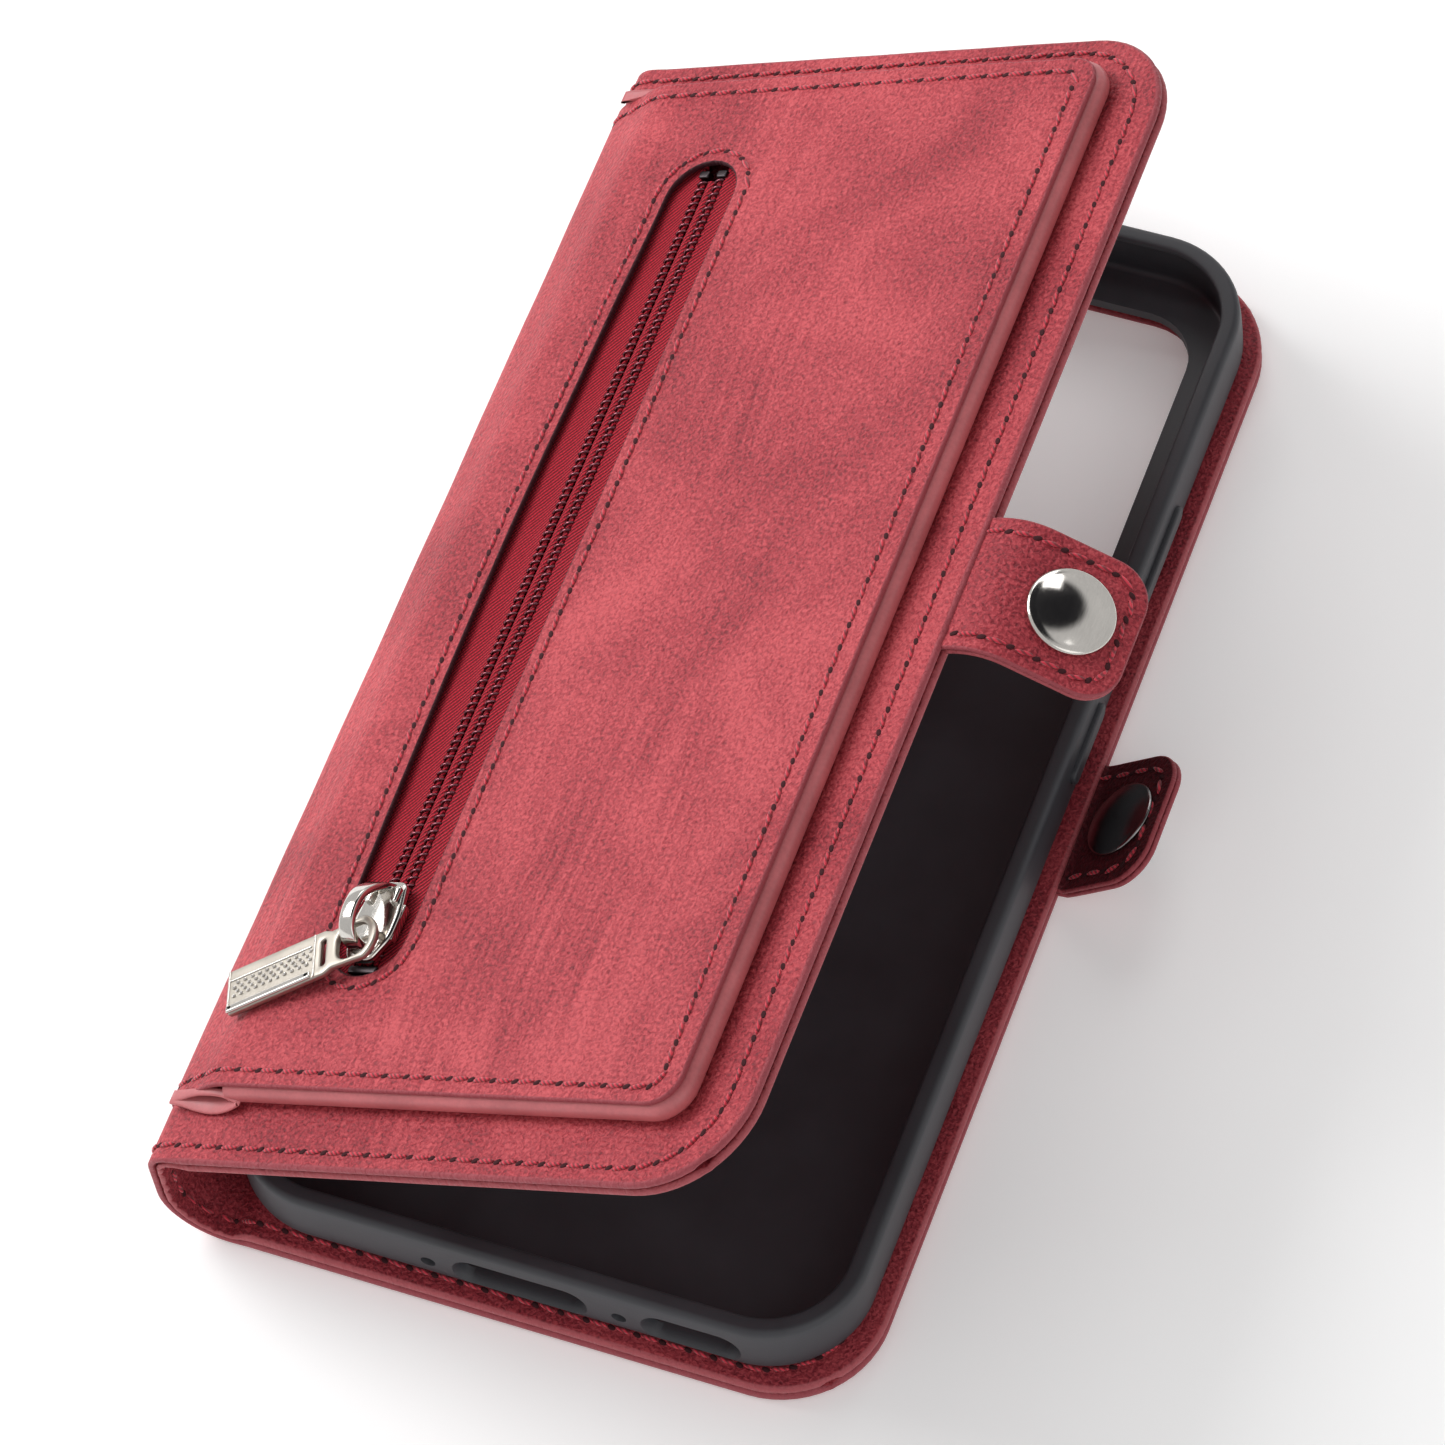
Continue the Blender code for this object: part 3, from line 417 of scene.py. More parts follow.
def joined(name, pieces, material=None):
    first = pieces[0]
    work = bmesh.new()
    for piece in pieces:
        work.from_mesh(piece.data)
    mesh = bpy.data.meshes.new(name)
    work.to_mesh(mesh)
    work.free()
    mesh.materials.append(material or first.data.materials[0])
    mesh.polygons.foreach_set("material_index", [0] * len(mesh.polygons))
    result = bpy.data.objects.new(name, mesh)
    bpy.context.scene.collection.objects.link(result)
    for piece in pieces:
        bpy.data.objects.remove(piece, do_unlink=True)
    mesh.set_sharp_from_angle(angle=math.radians(50))
    return result


# finishes

def newMaterial(name):
    material = bpy.data.materials.new(name)
    material.use_nodes = True
    return material, material.node_tree, material.node_tree.nodes["Principled BSDF"]


def flatUv(tree):
    made = tree.nodes.new("ShaderNodeUVMap")
    made.uv_map = "flat"
    return made.outputs["UV"]


def objectSpot(tree):
    return tree.nodes.new("ShaderNodeTexCoord").outputs["Object"]


def marked(tree, name):
    made = tree.nodes.new("ShaderNodeAttribute")
    made.attribute_name = name
    return made.outputs["Fac"]


def noiseNode(tree, vector, scale, detail=3.0, rough=0.55, distortion=0.0):
    made = tree.nodes.new("ShaderNodeTexNoise")
    made.inputs["Scale"].default_value = scale
    made.inputs["Detail"].default_value = detail
    made.inputs["Roughness"].default_value = rough
    made.inputs["Distortion"].default_value = distortion
    tree.links.new(vector, made.inputs["Vector"])
    return made.outputs["Fac"]


def math2(tree, operation, a, b, clamp=False):
    made = tree.nodes.new("ShaderNodeMath")
    made.operation = operation
    made.use_clamp = clamp
    for socket, value in zip(made.inputs, (a, b)):
        if isinstance(value, (int, float)):
            socket.default_value = value
        else:
            tree.links.new(value, socket)
    return made.outputs[0]


def mapping(tree, vector, scale=(1, 1, 1), turn=0.0):
    made = tree.nodes.new("ShaderNodeMapping")
    made.inputs["Scale"].default_value = scale
    made.inputs["Rotation"].default_value = (0, 0, turn)
    tree.links.new(vector, made.inputs["Vector"])
    return made.outputs["Vector"]


def ramp(tree, fac, stops):
    made = tree.nodes.new("ShaderNodeValToRGB")
    elements = made.color_ramp.elements
    while len(elements) < len(stops):
        elements.new(0.5)
    for element, (at, colour) in zip(elements, stops):
        element.position = at
        element.color = (*colour, 1.0)
    tree.links.new(fac, made.inputs["Fac"])
    return made.outputs["Color"]


def mixColour(tree, fac, a, b):
    made = tree.nodes.new("ShaderNodeMix")
    made.data_type = "RGBA"
    for socket, value in ((made.inputs[0], fac), (made.inputs[6], a), (made.inputs[7], b)):
        if isinstance(value, (int, float)):
            socket.default_value = value
        elif isinstance(value, tuple):
            socket.default_value = (*value, 1.0)
        else:
            tree.links.new(value, socket)
    return made.outputs[2]


def bump(tree, shader, height, strength, distance):
    made = tree.nodes.new("ShaderNodeBump")
    made.inputs["Strength"].default_value = strength
    made.inputs["Distance"].default_value = distance
    tree.links.new(height, made.inputs["Height"])
    tree.links.new(made.outputs["Normal"], shader.inputs["Normal"])


leatherLook = dict(
    dark=(0.16, 0.012, 0.020),
    mid=(0.355, 0.036, 0.049),
    light=(0.54, 0.083, 0.096),
    edge=(0.36, 0.070, 0.086),
    # painted shade for the window's cut edge, standing in for its shadow
    wall=(0.035, 0.004, 0.008),
    grainSize=0.46 * mm,
    streakWidth=1.1 * mm,
    cloudSize=26 * mm,
    patchSize=34 * mm,
    wearSize=2.5 * mm,
    middle=0.54,            # tone where clouds, streaks and grain are even
    cloudShare=1.05,
    streakShare=1.05,
    grainShare=1.5,
    smoothest=0.42,
    roughGrain=0.3,
    relief=0.2 * mm,
)


def leather(name, look=leatherLook, streaks=1.0, streakTurn=0.0):
    material, tree, shader = newMaterial(name)
    uv = flatUv(tree)
    drift = tree.nodes.new("ShaderNodeTexNoise")
    drift.inputs["Scale"].default_value = 2.2
    drift.inputs["Detail"].default_value = 1.0
    tree.links.new(uv, drift.inputs["Vector"])
    shift = tree.nodes.new("ShaderNodeVectorMath")
    shift.operation = "MULTIPLY_ADD"
    tree.links.new(drift.outputs["Color"], shift.inputs[0])
    shift.inputs[1].default_value = (0.10, 0.05, 0.0)
    tree.links.new(uv, shift.inputs[2])
    clouds = noiseNode(tree, shift.outputs[0], uvUnit / look["cloudSize"], 3.0, 0.55, 0.5)
    fine = mapping(tree, shift.outputs[0], (1.0, 0.035, 1.0), streakTurn)
    streak = noiseNode(tree, fine, uvUnit / look["streakWidth"], 4.0, 0.65)
    # the streaks fade in and out over large patches
    patches = noiseNode(tree, mapping(tree, uv, (1.0, 0.45, 1.0), 0.35), uvUnit / look["patchSize"], 2.0, 0.5)
    where = math2(tree, "MULTIPLY_ADD", patches, 3.2, True)
    where.node.inputs[2].default_value = -1.25
    streakPart = math2(tree, "MULTIPLY", math2(tree, "SUBTRACT", streak, 0.5), where)
    # grain bent into short wavy creases
    grain = noiseNode(tree, uv, uvUnit / look["grainSize"], 1.5, 0.5, 0.7)
    tone = math2(tree, "MULTIPLY_ADD", math2(tree, "SUBTRACT", clouds, 0.5), look["cloudShare"])
    tone.node.inputs[2].default_value = look["middle"]
    tone = math2(tree, "ADD", tone, math2(tree, "MULTIPLY", streakPart, look["streakShare"] * streaks))
    grainPart = math2(tree, "MULTIPLY", math2(tree, "SUBTRACT", grain, 0.5), look["grainShare"])
    tone = math2(tree, "ADD", tone, grainPart)
    colour = ramp(tree, tone, [(0.12, look["dark"]), (0.5, look["mid"]), (0.88, look["light"])])
    edge = marked(tree, "edge")
    worn = noiseNode(tree, uv, uvUnit / look["wearSize"], 3.0)
    edgeTone = mixColour(tree, worn, look["edge"], tuple(c * 0.8 for c in look["edge"]))
    whole = mixColour(tree, edge, colour, edgeTone)
    # the marked wall gets painted shade, a near-black colour for the shadow on the window's cut edge
    wall = marked(tree, "wall")
    tree.links.new(mixColour(tree, wall, whole, look["wall"]), shader.inputs["Base Color"])
    roughness = math2(tree, "MULTIPLY_ADD", grain, look["roughGrain"])
    roughness.node.inputs[2].default_value = look["smoothest"]
    tree.links.new(roughness, shader.inputs["Roughness"])
    shader.inputs["Specular IOR Level"].default_value = 0.24
    shader.inputs["Sheen Weight"].default_value = 0.05
    shader.inputs["Sheen Roughness"].default_value = 0.4
    shader.inputs["Sheen Tint"].default_value = (1.0, 0.62, 0.62, 1.0)
    pores = tree.nodes.new("ShaderNodeTexVoronoi")
    pores.inputs["Scale"].default_value = uvUnit / (look["grainSize"] * 1.25)
    tree.links.new(uv, pores.inputs["Vector"])
    height = math2(tree, "ADD", grain, math2(tree, "MULTIPLY", pores.outputs["Distance"], 0.55))
    height = math2(tree, "ADD", height, math2(tree, "MULTIPLY", streakPart, 0.8))
    bump(tree, shader, height, 1.0, look["relief"])
    return material


def smoothLeather(name, colour, rough=0.42):
    # the painted, slightly shiny leather of folds and cut edges
    material, tree, shader = newMaterial(name)
    spot = objectSpot(tree)
    soft = noiseNode(tree, spot, 1 / (9 * mm), 3.0)
    fine = noiseNode(tree, spot, 1 / (0.5 * mm), 2.0)
    mixed = math2(tree, "ADD", math2(tree, "MULTIPLY", soft, 0.7), math2(tree, "MULTIPLY", fine, 0.3))
    dark, light = tuple(c * 0.78 for c in colour), tuple(min(1, c * 1.18) for c in colour)
    tree.links.new(ramp(tree, mixed, [(0.3, dark), (0.7, light)]), shader.inputs["Base Color"])
    roughness = math2(tree, "MULTIPLY_ADD", fine, 0.2)
    roughness.node.inputs[2].default_value = rough - 0.1
    tree.links.new(roughness, shader.inputs["Roughness"])
    bump(tree, shader, fine, 0.3, 0.06 * mm)
    return material


def threadFinish(name, colour):
    material, tree, shader = newMaterial(name)
    spot = objectSpot(tree)
    wave = tree.nodes.new("ShaderNodeTexWave")
    wave.inputs["Scale"].default_value = 1 / (1.4 * mm)
    wave.inputs["Distortion"].default_value = 1.5
    wave.bands_direction = "DIAGONAL"
    tree.links.new(spot, wave.inputs["Vector"])
    dark, light = tuple(c * 0.45 for c in colour), tuple(min(1, c * 1.35) for c in colour)
    tree.links.new(ramp(tree, wave.outputs["Fac"], [(0.15, dark), (0.75, light)]),
                   shader.inputs["Base Color"])
    shader.inputs["Roughness"].default_value = 0.6
    shader.inputs["Sheen Weight"].default_value = 0.3
    bump(tree, shader, wave.outputs["Fac"], 0.8, 0.12 * mm)
    return material


def metal(name, colour, rough, brushed=0.0):
    # slightly smudged, with fine rubbed lines
    wear = 0.12
    material, tree, shader = newMaterial(name)
    spot = objectSpot(tree)
    smudge = noiseNode(tree, spot, 1 / (4 * mm), 3.0)
    fine = noiseNode(tree, mapping(tree, spot, (1, 0.12, 1)), 1 / (0.25 * mm), 3.0)
    mixed = math2(tree, "ADD", math2(tree, "MULTIPLY", smudge, 0.6), math2(tree, "MULTIPLY", fine, 0.4))
    dull = tuple(c * (1 - wear) for c in colour)
    tree.links.new(ramp(tree, mixed, [(0.35, dull), (0.65, colour)]), shader.inputs["Base Color"])
    shader.inputs["Metallic"].default_value = 1.0
    roughness = math2(tree, "MULTIPLY_ADD", mixed, 0.16 + brushed * 0.3)
    roughness.node.inputs[2].default_value = max(rough - 0.08, 0.02)
    tree.links.new(roughness, shader.inputs["Roughness"])
    bump(tree, shader, fine, 0.12 + brushed, 0.03 * mm)
    return material


def moulded(name, colour, rough, grainSize):
    # soft-touch moulding with a fine spark texture and faint rub marks
    material, tree, shader = newMaterial(name)
    spot = objectSpot(tree)
    spark = noiseNode(tree, spot, 1 / grainSize, 2.0)
    rub = noiseNode(tree, spot, 1 / (14 * mm), 4.0)
    lighter = tuple(min(1, c * 1.5 + 0.004) for c in colour)
    tree.links.new(ramp(tree, rub, [(0.3, colour), (0.8, lighter)]), shader.inputs["Base Color"])
    roughness = math2(tree, "MULTIPLY_ADD", rub, 0.2)
    roughness.node.inputs[2].default_value = rough - 0.1
    tree.links.new(roughness, shader.inputs["Roughness"])
    bump(tree, shader, spark, 0.3, 0.05 * mm)
    return material


def tapeFinish(name, colour, ribWidth):
    # two sets of diagonal ribs that cross, with a little fuzz; the colour follows them, with painted shade in
    # the valleys and painted highlight on the ribs
    material, tree, shader = newMaterial(name)
    uv = flatUv(tree)
    heights = []
    for turn in (0.72, -0.72):
        wave = tree.nodes.new("ShaderNodeTexWave")
        wave.inputs["Scale"].default_value = 0.0314 / ribWidth
        wave.inputs["Distortion"].default_value = 1.6
        wave.inputs["Detail"].default_value = 2.0
        wave.inputs["Detail Scale"].default_value = 1.5
        tree.links.new(mapping(tree, uv, (1, 1, 1), turn), wave.inputs["Vector"])
        heights.append(wave.outputs["Fac"])
    weave = math2(tree, "MULTIPLY", heights[0], math2(tree, "MULTIPLY_ADD", heights[1], 0.45))
    weave.node.inputs[1].links[0].from_node.inputs[2].default_value = 0.55
    fuzz = noiseNode(tree, uv, uvUnit / (0.25 * mm), 2.0)
    mixed = math2(tree, "ADD", math2(tree, "MULTIPLY", weave, 0.8), math2(tree, "MULTIPLY", fuzz, 0.3))
    # dark is painted shade for the weave's valleys, light a painted highlight on its ribs
    dark, light = tuple(c * 0.16 for c in colour), tuple(min(1, c * 1.7) for c in colour)
    tree.links.new(ramp(tree, mixed, [(0.1, dark), (0.45, colour), (0.85, light)]),
                   shader.inputs["Base Color"])
    shader.inputs["Roughness"].default_value = 0.72
    shader.inputs["Specular IOR Level"].default_value = 0.3
    bump(tree, shader, mixed, 1.0, 0.25 * mm)
    return material


def boardFinish(name):
    material, tree, shader = newMaterial(name)
    spot = objectSpot(tree)
    fibre = noiseNode(tree, spot, 1 / (0.8 * mm), 5.0)
    tree.links.new(ramp(tree, fibre, [(0.3, (0.20, 0.15, 0.11)), (0.7, (0.42, 0.34, 0.26))]),
                   shader.inputs["Base Color"])
    shader.inputs["Roughness"].default_value = 0.9
    bump(tree, shader, fibre, 0.4, 0.1 * mm)
    return material


leatherOuter = leather("brushedRoseLeather")
leatherPocket = leather("brushedRosePocket", streaks=1.15, streakTurn=0.04)
# the lining's own plainer rose, darkened as painted shade for the inside of the case; its edges keep a
# lighter edge paint
liningShadeLook = dict(leatherLook, dark=(0.11, 0.008, 0.014), mid=(0.26, 0.024, 0.035),
                  light=(0.42, 0.056, 0.068), edge=(0.42, 0.088, 0.102))
leatherInnerShaded = leather("roseLiningPaintedShade", liningShadeLook, streaks=0.3)
leatherTab = leather("brushedRoseTab", streaks=0.8)
# darker still: painted shade for the back tab's inner face, which lies in the front cover's shadow
tabInsideShadeLook = dict(liningShadeLook, dark=(0.03, 0.003, 0.005), mid=(0.085, 0.008, 0.013),
                     light=(0.15, 0.018, 0.025), edge=(0.30, 0.05, 0.062))
leatherTabInsideShaded = leather("shadedRoseTab", tabInsideShadeLook, streaks=0.3)
leatherFold = smoothLeather("paintedRoseFold", (0.50, 0.13, 0.14))
stitchThread = threadFinish("redThread", (0.46, 0.016, 0.036))
# needle holes as near-black beads: painted shade for the pits the needle left
needleHoleShade = smoothLeather("needleHoleShade", (0.040, 0.003, 0.006), 0.95)
zipTwill = tapeFinish("crimsonTwill", (0.34, 0.006, 0.020), 0.46 * mm)
coilWire = metal("gunmetalWire", (0.19, 0.062, 0.078), 0.2)
nickelBright = metal("brightNickel", (0.66, 0.63, 0.59), 0.13)
nickelSatin = metal("satinNickel", (0.40, 0.365, 0.32), 0.34, 0.25)
discMetal = metal("darkNickel", (0.30, 0.29, 0.29), 0.24)
# the stops' gunmetal, darkened to near-black as painted shade for the dark ends of the window
stopMetalShaded = metal("gunmetalStopShade", (0.055, 0.045, 0.048), 0.36)
trayRubber = moulded("softTouchBlack", (0.027, 0.027, 0.032), 0.50, 0.35 * mm)
boardFibre = boardFinish("pressedBoard")
print("finishes made")


# Geometry Nodes for what repeats

def newTree(name, inputs):
    tree = bpy.data.node_groups.new(name, "GeometryNodeTree")
    for label, kind, value in inputs:
        socket = tree.interface.new_socket(label, in_out="INPUT", socket_type=kind)
        if value is not None:
            socket.default_value = value
    tree.interface.new_socket("Geometry", in_out="OUTPUT", socket_type="NodeSocketGeometry")
    return tree, tree.nodes.new("NodeGroupInput"), tree.nodes.new("NodeGroupOutput")


def finishTree(tree, start, end, geometry):
    real = tree.nodes.new("GeometryNodeRealizeInstances")
    paint = tree.nodes.new("GeometryNodeSetMaterial")
    tree.links.new(geometry, real.inputs["Geometry"])
    tree.links.new(real.outputs[0], paint.inputs["Geometry"])
    tree.links.new(start.outputs["Finish"], paint.inputs["Material"])
    tree.links.new(paint.outputs[0], end.inputs["Geometry"])
    return tree


def beadTree():
    # one rounded bead at each step along a curve, turned to follow it
    tree, start, end = newTree("beadsAlongLine", [
        ("Geometry", "NodeSocketGeometry", None), ("Pitch", "NodeSocketFloat", 3.2 * mm),
        ("Length", "NodeSocketFloat", mm), ("Width", "NodeSocketFloat", mm),
        ("Height", "NodeSocketFloat", mm), ("Lean", "NodeSocketFloat", 0.0),
        ("Rings", "NodeSocketInt", 6), ("Sides", "NodeSocketInt", 8),
        ("Seed", "NodeSocketInt", 3), ("Finish", "NodeSocketMaterial", None)])
    step = tree.nodes.new("GeometryNodeResampleCurve")
    step.mode = "LENGTH"
    tree.links.new(start.outputs["Geometry"], step.inputs["Curve"])
    tree.links.new(start.outputs["Pitch"], step.inputs["Length"])
    dots = tree.nodes.new("GeometryNodeCurveToPoints")
    dots.mode = "EVALUATED"
    tree.links.new(step.outputs[0], dots.inputs["Curve"])
    face = tree.nodes.new("FunctionNodeAlignRotationToVector")
    face.axis = "X"
    face.pivot_axis = "Z"
    tree.links.new(dots.outputs["Tangent"], face.inputs["Vector"])
    wobble = tree.nodes.new("FunctionNodeRandomValue")
    wobble.data_type = "FLOAT"
    wobble.inputs[2].default_value = -0.09
    wobble.inputs[3].default_value = 0.09
    tree.links.new(start.outputs["Seed"], wobble.inputs["Seed"])
    lean = tree.nodes.new("ShaderNodeMath")
    tree.links.new(wobble.outputs[1], lean.inputs[0])
    tree.links.new(start.outputs["Lean"], lean.inputs[1])
    around = tree.nodes.new("ShaderNodeCombineXYZ")
    tree.links.new(lean.outputs[0], around.inputs["Z"])
    turn = tree.nodes.new("FunctionNodeRotateRotation")
    turn.rotation_space = "LOCAL"
    tree.links.new(face.outputs[0], turn.inputs[0])
    tree.links.new(around.outputs[0], turn.inputs[1])
    ball = tree.nodes.new("GeometryNodeMeshUVSphere")
    ball.inputs["Radius"].default_value = 0.5
    tree.links.new(start.outputs["Sides"], ball.inputs["Segments"])
    tree.links.new(start.outputs["Rings"], ball.inputs["Rings"])
    lie = tree.nodes.new("GeometryNodeTransform")
    lie.inputs["Rotation"].default_value = (0, math.pi / 2, 0)
    tree.links.new(ball.outputs["Mesh"], lie.inputs["Geometry"])
    size = tree.nodes.new("ShaderNodeCombineXYZ")
    for label, axis in (("Length", "X"), ("Width", "Y"), ("Height", "Z")):
        tree.links.new(start.outputs[label], size.inputs[axis])
    shaped = tree.nodes.new("GeometryNodeTransform")
    tree.links.new(lie.outputs[0], shaped.inputs["Geometry"])
    tree.links.new(size.outputs[0], shaped.inputs["Scale"])
    put = tree.nodes.new("GeometryNodeInstanceOnPoints")
    tree.links.new(dots.outputs["Points"], put.inputs["Points"])
    tree.links.new(shaped.outputs[0], put.inputs["Instance"])
    tree.links.new(turn.outputs[0], put.inputs["Rotation"])
    return finishTree(tree, start, end, put.outputs["Instances"])


def helixTree():
    # a round wire wound into a helix along Z and squeezed along Y
    tree, start, end = newTree("woundWire", [
        ("Geometry", "NodeSocketGeometry", None), ("Length", "NodeSocketFloat", mm),
        ("Turns", "NodeSocketFloat", 10.0), ("Radius", "NodeSocketFloat", mm),
        ("Wire", "NodeSocketFloat", mm), ("Squeeze", "NodeSocketFloat", 1.0),
        ("Finish", "NodeSocketMaterial", None)])
    spiral = tree.nodes.new("GeometryNodeCurveSpiral")
    spiral.inputs["Resolution"].default_value = 12
    tree.links.new(start.outputs["Turns"], spiral.inputs["Rotations"])
    tree.links.new(start.outputs["Radius"], spiral.inputs["Start Radius"])
    tree.links.new(start.outputs["Radius"], spiral.inputs["End Radius"])
    tree.links.new(start.outputs["Length"], spiral.inputs["Height"])
    ring = tree.nodes.new("GeometryNodeCurvePrimitiveCircle")
    ring.inputs["Resolution"].default_value = 6
    tree.links.new(start.outputs["Wire"], ring.inputs["Radius"])
    tube = tree.nodes.new("GeometryNodeCurveToMesh")
    tube.inputs["Fill Caps"].default_value = True
    tree.links.new(spiral.outputs[0], tube.inputs["Curve"])
    tree.links.new(ring.outputs[0], tube.inputs["Profile Curve"])
    scale = tree.nodes.new("ShaderNodeCombineXYZ")
    scale.inputs["X"].default_value = 1.0
    scale.inputs["Z"].default_value = 1.0
    tree.links.new(start.outputs["Squeeze"], scale.inputs["Y"])
    press = tree.nodes.new("GeometryNodeTransform")
    tree.links.new(tube.outputs[0], press.inputs["Geometry"])
    tree.links.new(scale.outputs[0], press.inputs["Scale"])
    return finishTree(tree, start, end, press.outputs[0])


beads = beadTree()
windings = helixTree()


def grown(name, tree, values, source):
    # runs a tree on an object and keeps the result as a plain mesh
    modifier = source.modifiers.new(name, "NODES")
    modifier.node_group = tree
    ids = {item.name: item.identifier for item in tree.interface.items_tree if item.in_out == "INPUT"}
    for label, value in values.items():
        modifier[ids[label]] = value
    bpy.context.view_layer.update()
    graph = bpy.context.evaluated_depsgraph_get()
    mesh = bpy.data.meshes.new_from_object(source.evaluated_get(graph))
    source.modifiers.remove(modifier)
    mesh.name = name
    result = bpy.data.objects.new(name, mesh)
    bpy.context.scene.collection.objects.link(result)
    bpy.data.objects.remove(source, do_unlink=True)
    return result


def lineObject(name, paths):
    curve = bpy.data.curves.new(name, "CURVE")
    curve.dimensions = "3D"
    for path in paths:
        spline = curve.splines.new("POLY")
        spline.points.add(len(path) - 1)
        for point, target in zip(path, spline.points):
            target.co = (*point, 1.0)
    line = bpy.data.objects.new(name, curve)
    bpy.context.scene.collection.objects.link(line)
    return line


def remap(piece, place):
    count = len(piece.data.vertices)
    flat = np.empty(count * 3, np.float64)
    piece.data.vertices.foreach_get("co", flat)
    piece.data.vertices.foreach_set("co", place(flat.reshape(-1, 3)).astype(np.float32).ravel())
    piece.data.update()
    return piece


stitch = dict(
    pitch=3.2 * mm,
    thread=2.3 * mm,
    width=0.58 * mm,
    high=0.5 * mm,
    hole=1.1 * mm,
    holeWidth=0.7 * mm,
    holeHigh=0.26 * mm,
    lift=0.1 * mm,
    lean=0.12,
    holeLean=0.5,
)


def trimmed(path, at):
    # the same open path, started a little further along
    points = [np.array(p, float) for p in path]
    while len(points) > 2 and np.linalg.norm(points[1] - points[0]) <= at:
        at -= np.linalg.norm(points[1] - points[0])
        points = points[1:]
    step = points[1] - points[0]
    points[0] = points[0] + step * (at / np.linalg.norm(step))
    return [tuple(p) for p in points]


def pathLength(path):
    return float(np.linalg.norm(np.diff(np.array(path, float), axis=0), axis=1).sum())


def sewn(name, paths, height, place, seed=3):
    # thread dashes between needle holes, on flat lines at the given height; each hole is a dark bead, painted
    # shade standing in for the pit
    kinds = {"thread": [], "holes": []}
    for i, path in enumerate(paths):
        steps = round(pathLength(path) / stitch["pitch"])
        pitch = pathLength(path) / (steps + 0.001)
        inner = trimmed(trimmed(path, pitch / 2)[::-1], pitch / 2)[::-1]
        common = {"Pitch": pitch, "Seed": seed + i}
        threads = lineObject(name + "Line", [[(x, y, height + stitch["lift"]) for x, y in inner]])
        dots = lineObject(name + "Dots", [[(x, y, height) for x, y in path]])
        kinds["thread"].append(grown("dashes", beads, {
            **common, "Length": stitch["thread"], "Width": stitch["width"], "Height": stitch["high"],
            "Lean": stitch["lean"], "Rings": 8, "Sides": 8, "Finish": stitchThread}, threads))
        kinds["holes"].append(grown("dots", beads, {
            **common, "Length": stitch["hole"], "Width": stitch["holeWidth"], "Height": stitch["holeHigh"],
            "Lean": stitch["holeLean"], "Rings": 4, "Sides": 8, "Finish": needleHoleShade}, dots))
    made = []
    for kind, found in kinds.items():
        finish = stitchThread if kind == "thread" else needleHoleShade
        piece = joined(f"{name}_{kind}", found, finish) if len(found) > 1 else found[0]
        piece.name = piece.data.name = f"{name}_{kind}"
        remap(piece, place)
        tidyMesh(piece)
        piece.data.shade_smooth()
        made.append(piece)
    return made


print("node trees made")


# back cover, front cover and spine

def ride(pieces, body):
    for piece in pieces:
        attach(piece, body)


def bendOver(pieces):
    # bakes each piece's placement into its mesh; the leather already turns over the spine's folds where wrap
    # placed it
    for piece in pieces:
        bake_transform(piece)


cover = dict(
    edgeR=0.55 * mm,
    seam=3.4 * mm,
    skin=0.8 * mm,
    liningTop=1.1 * mm,
    liningThick=0.5 * mm,
    ripple=0.07 * mm,
    stitchRight=3.4 * mm,
    stitchEnds=2.2 * mm,
    ribSize=2.3 * mm,
    ribHeight=0.42 * mm,
)


def softStep(value, low, high):
    t = np.clip((value - low) / (high - low), 0, 1)
    return t * t * (3 - 2 * t)


def marginShare(flat, endS):
    # 1 in the sewn margin of a cover, 0 where the board lies
    away = np.minimum(np.abs(flat[:, 0] - endS), case["halfLength"] - np.abs(flat[:, 1]))
    return 1 - softStep(away, cover["seam"], cover["seam"] + 0.6 * mm)


def shares(flat, endS, flatEnd, side):
    # how much of a point is on the flat of the cover, and how much in its sewn margin
    past = side * (flat[:, 0] - flatEnd)
    margin = np.maximum(marginShare(flat, endS), 1 - softStep(past, 3 * mm, 4 * mm))
    return softStep(past, 0.5 * mm, 3.0 * mm), margin


def outerHeights(endS, flatEnd, side, thick):
    seam = (thick - case["gap"]) / 2

    def heights(flat):
        onFlat, margin = shares(flat, endS, flatEnd, side)
        return -(cover["skin"] + (seam - cover["skin"]) * onFlat * margin), 0.0
    return heights


def innerHeights(endS, flatEnd, side, thick):
    # counted inwards, so that the side that shows is the upper one
    seam = (thick + case["gap"]) / 2

    def heights(flat):
        s, y = flat[:, 0], flat[:, 1]
        onFlat, margin = shares(flat, endS, flatEnd, side)
        low = seam * margin + (thick - cover["skin"]) * (1 - margin)
        low = cover["liningTop"] * (1 - onFlat) + low * onFlat
        top = (cover["liningTop"] + cover["liningThick"]) * (1 - onFlat) + thick * onFlat
        creases = 0.5 + 0.5 * np.sin(2 * math.pi * s / cover["ribSize"] + 1.3 * np.sin(y / (23 * mm)))
        return low, top + cover["ribHeight"] * creases * (1 - onFlat)
    return heights


def inwards(points):
    return wrap(points * np.array((1, 1, -1)))


def coverPanel(name, loops, place, heights, material, openSide, stitches, ripple):
    return panel(name, loops, place, heights, material, spacing=0.9 * mm, edgeR=cover["edgeR"],
                 openSide=openSide, stitchLines=stitches, ripple=ripple, gridStep=(1.3 * mm, 2.6 * mm))


def rowInset(low, high, radii, inset):
    # closed row a little inside a rounded outline; insets: right, top, left, bottom
    right, top, left, bottom = inset
    shrink = min(v for v in inset if v > 0)
    radii = tuple(max(r - shrink, 0.5 * mm) if r > 0 else 0 for r in radii)
    return roundedLoop((low[0] + left, low[1] + bottom), (high[0] - right, high[1] - top), radii, 8)


half = case["halfLength"]
ends, side = cover["stitchEnds"], cover["stitchRight"]

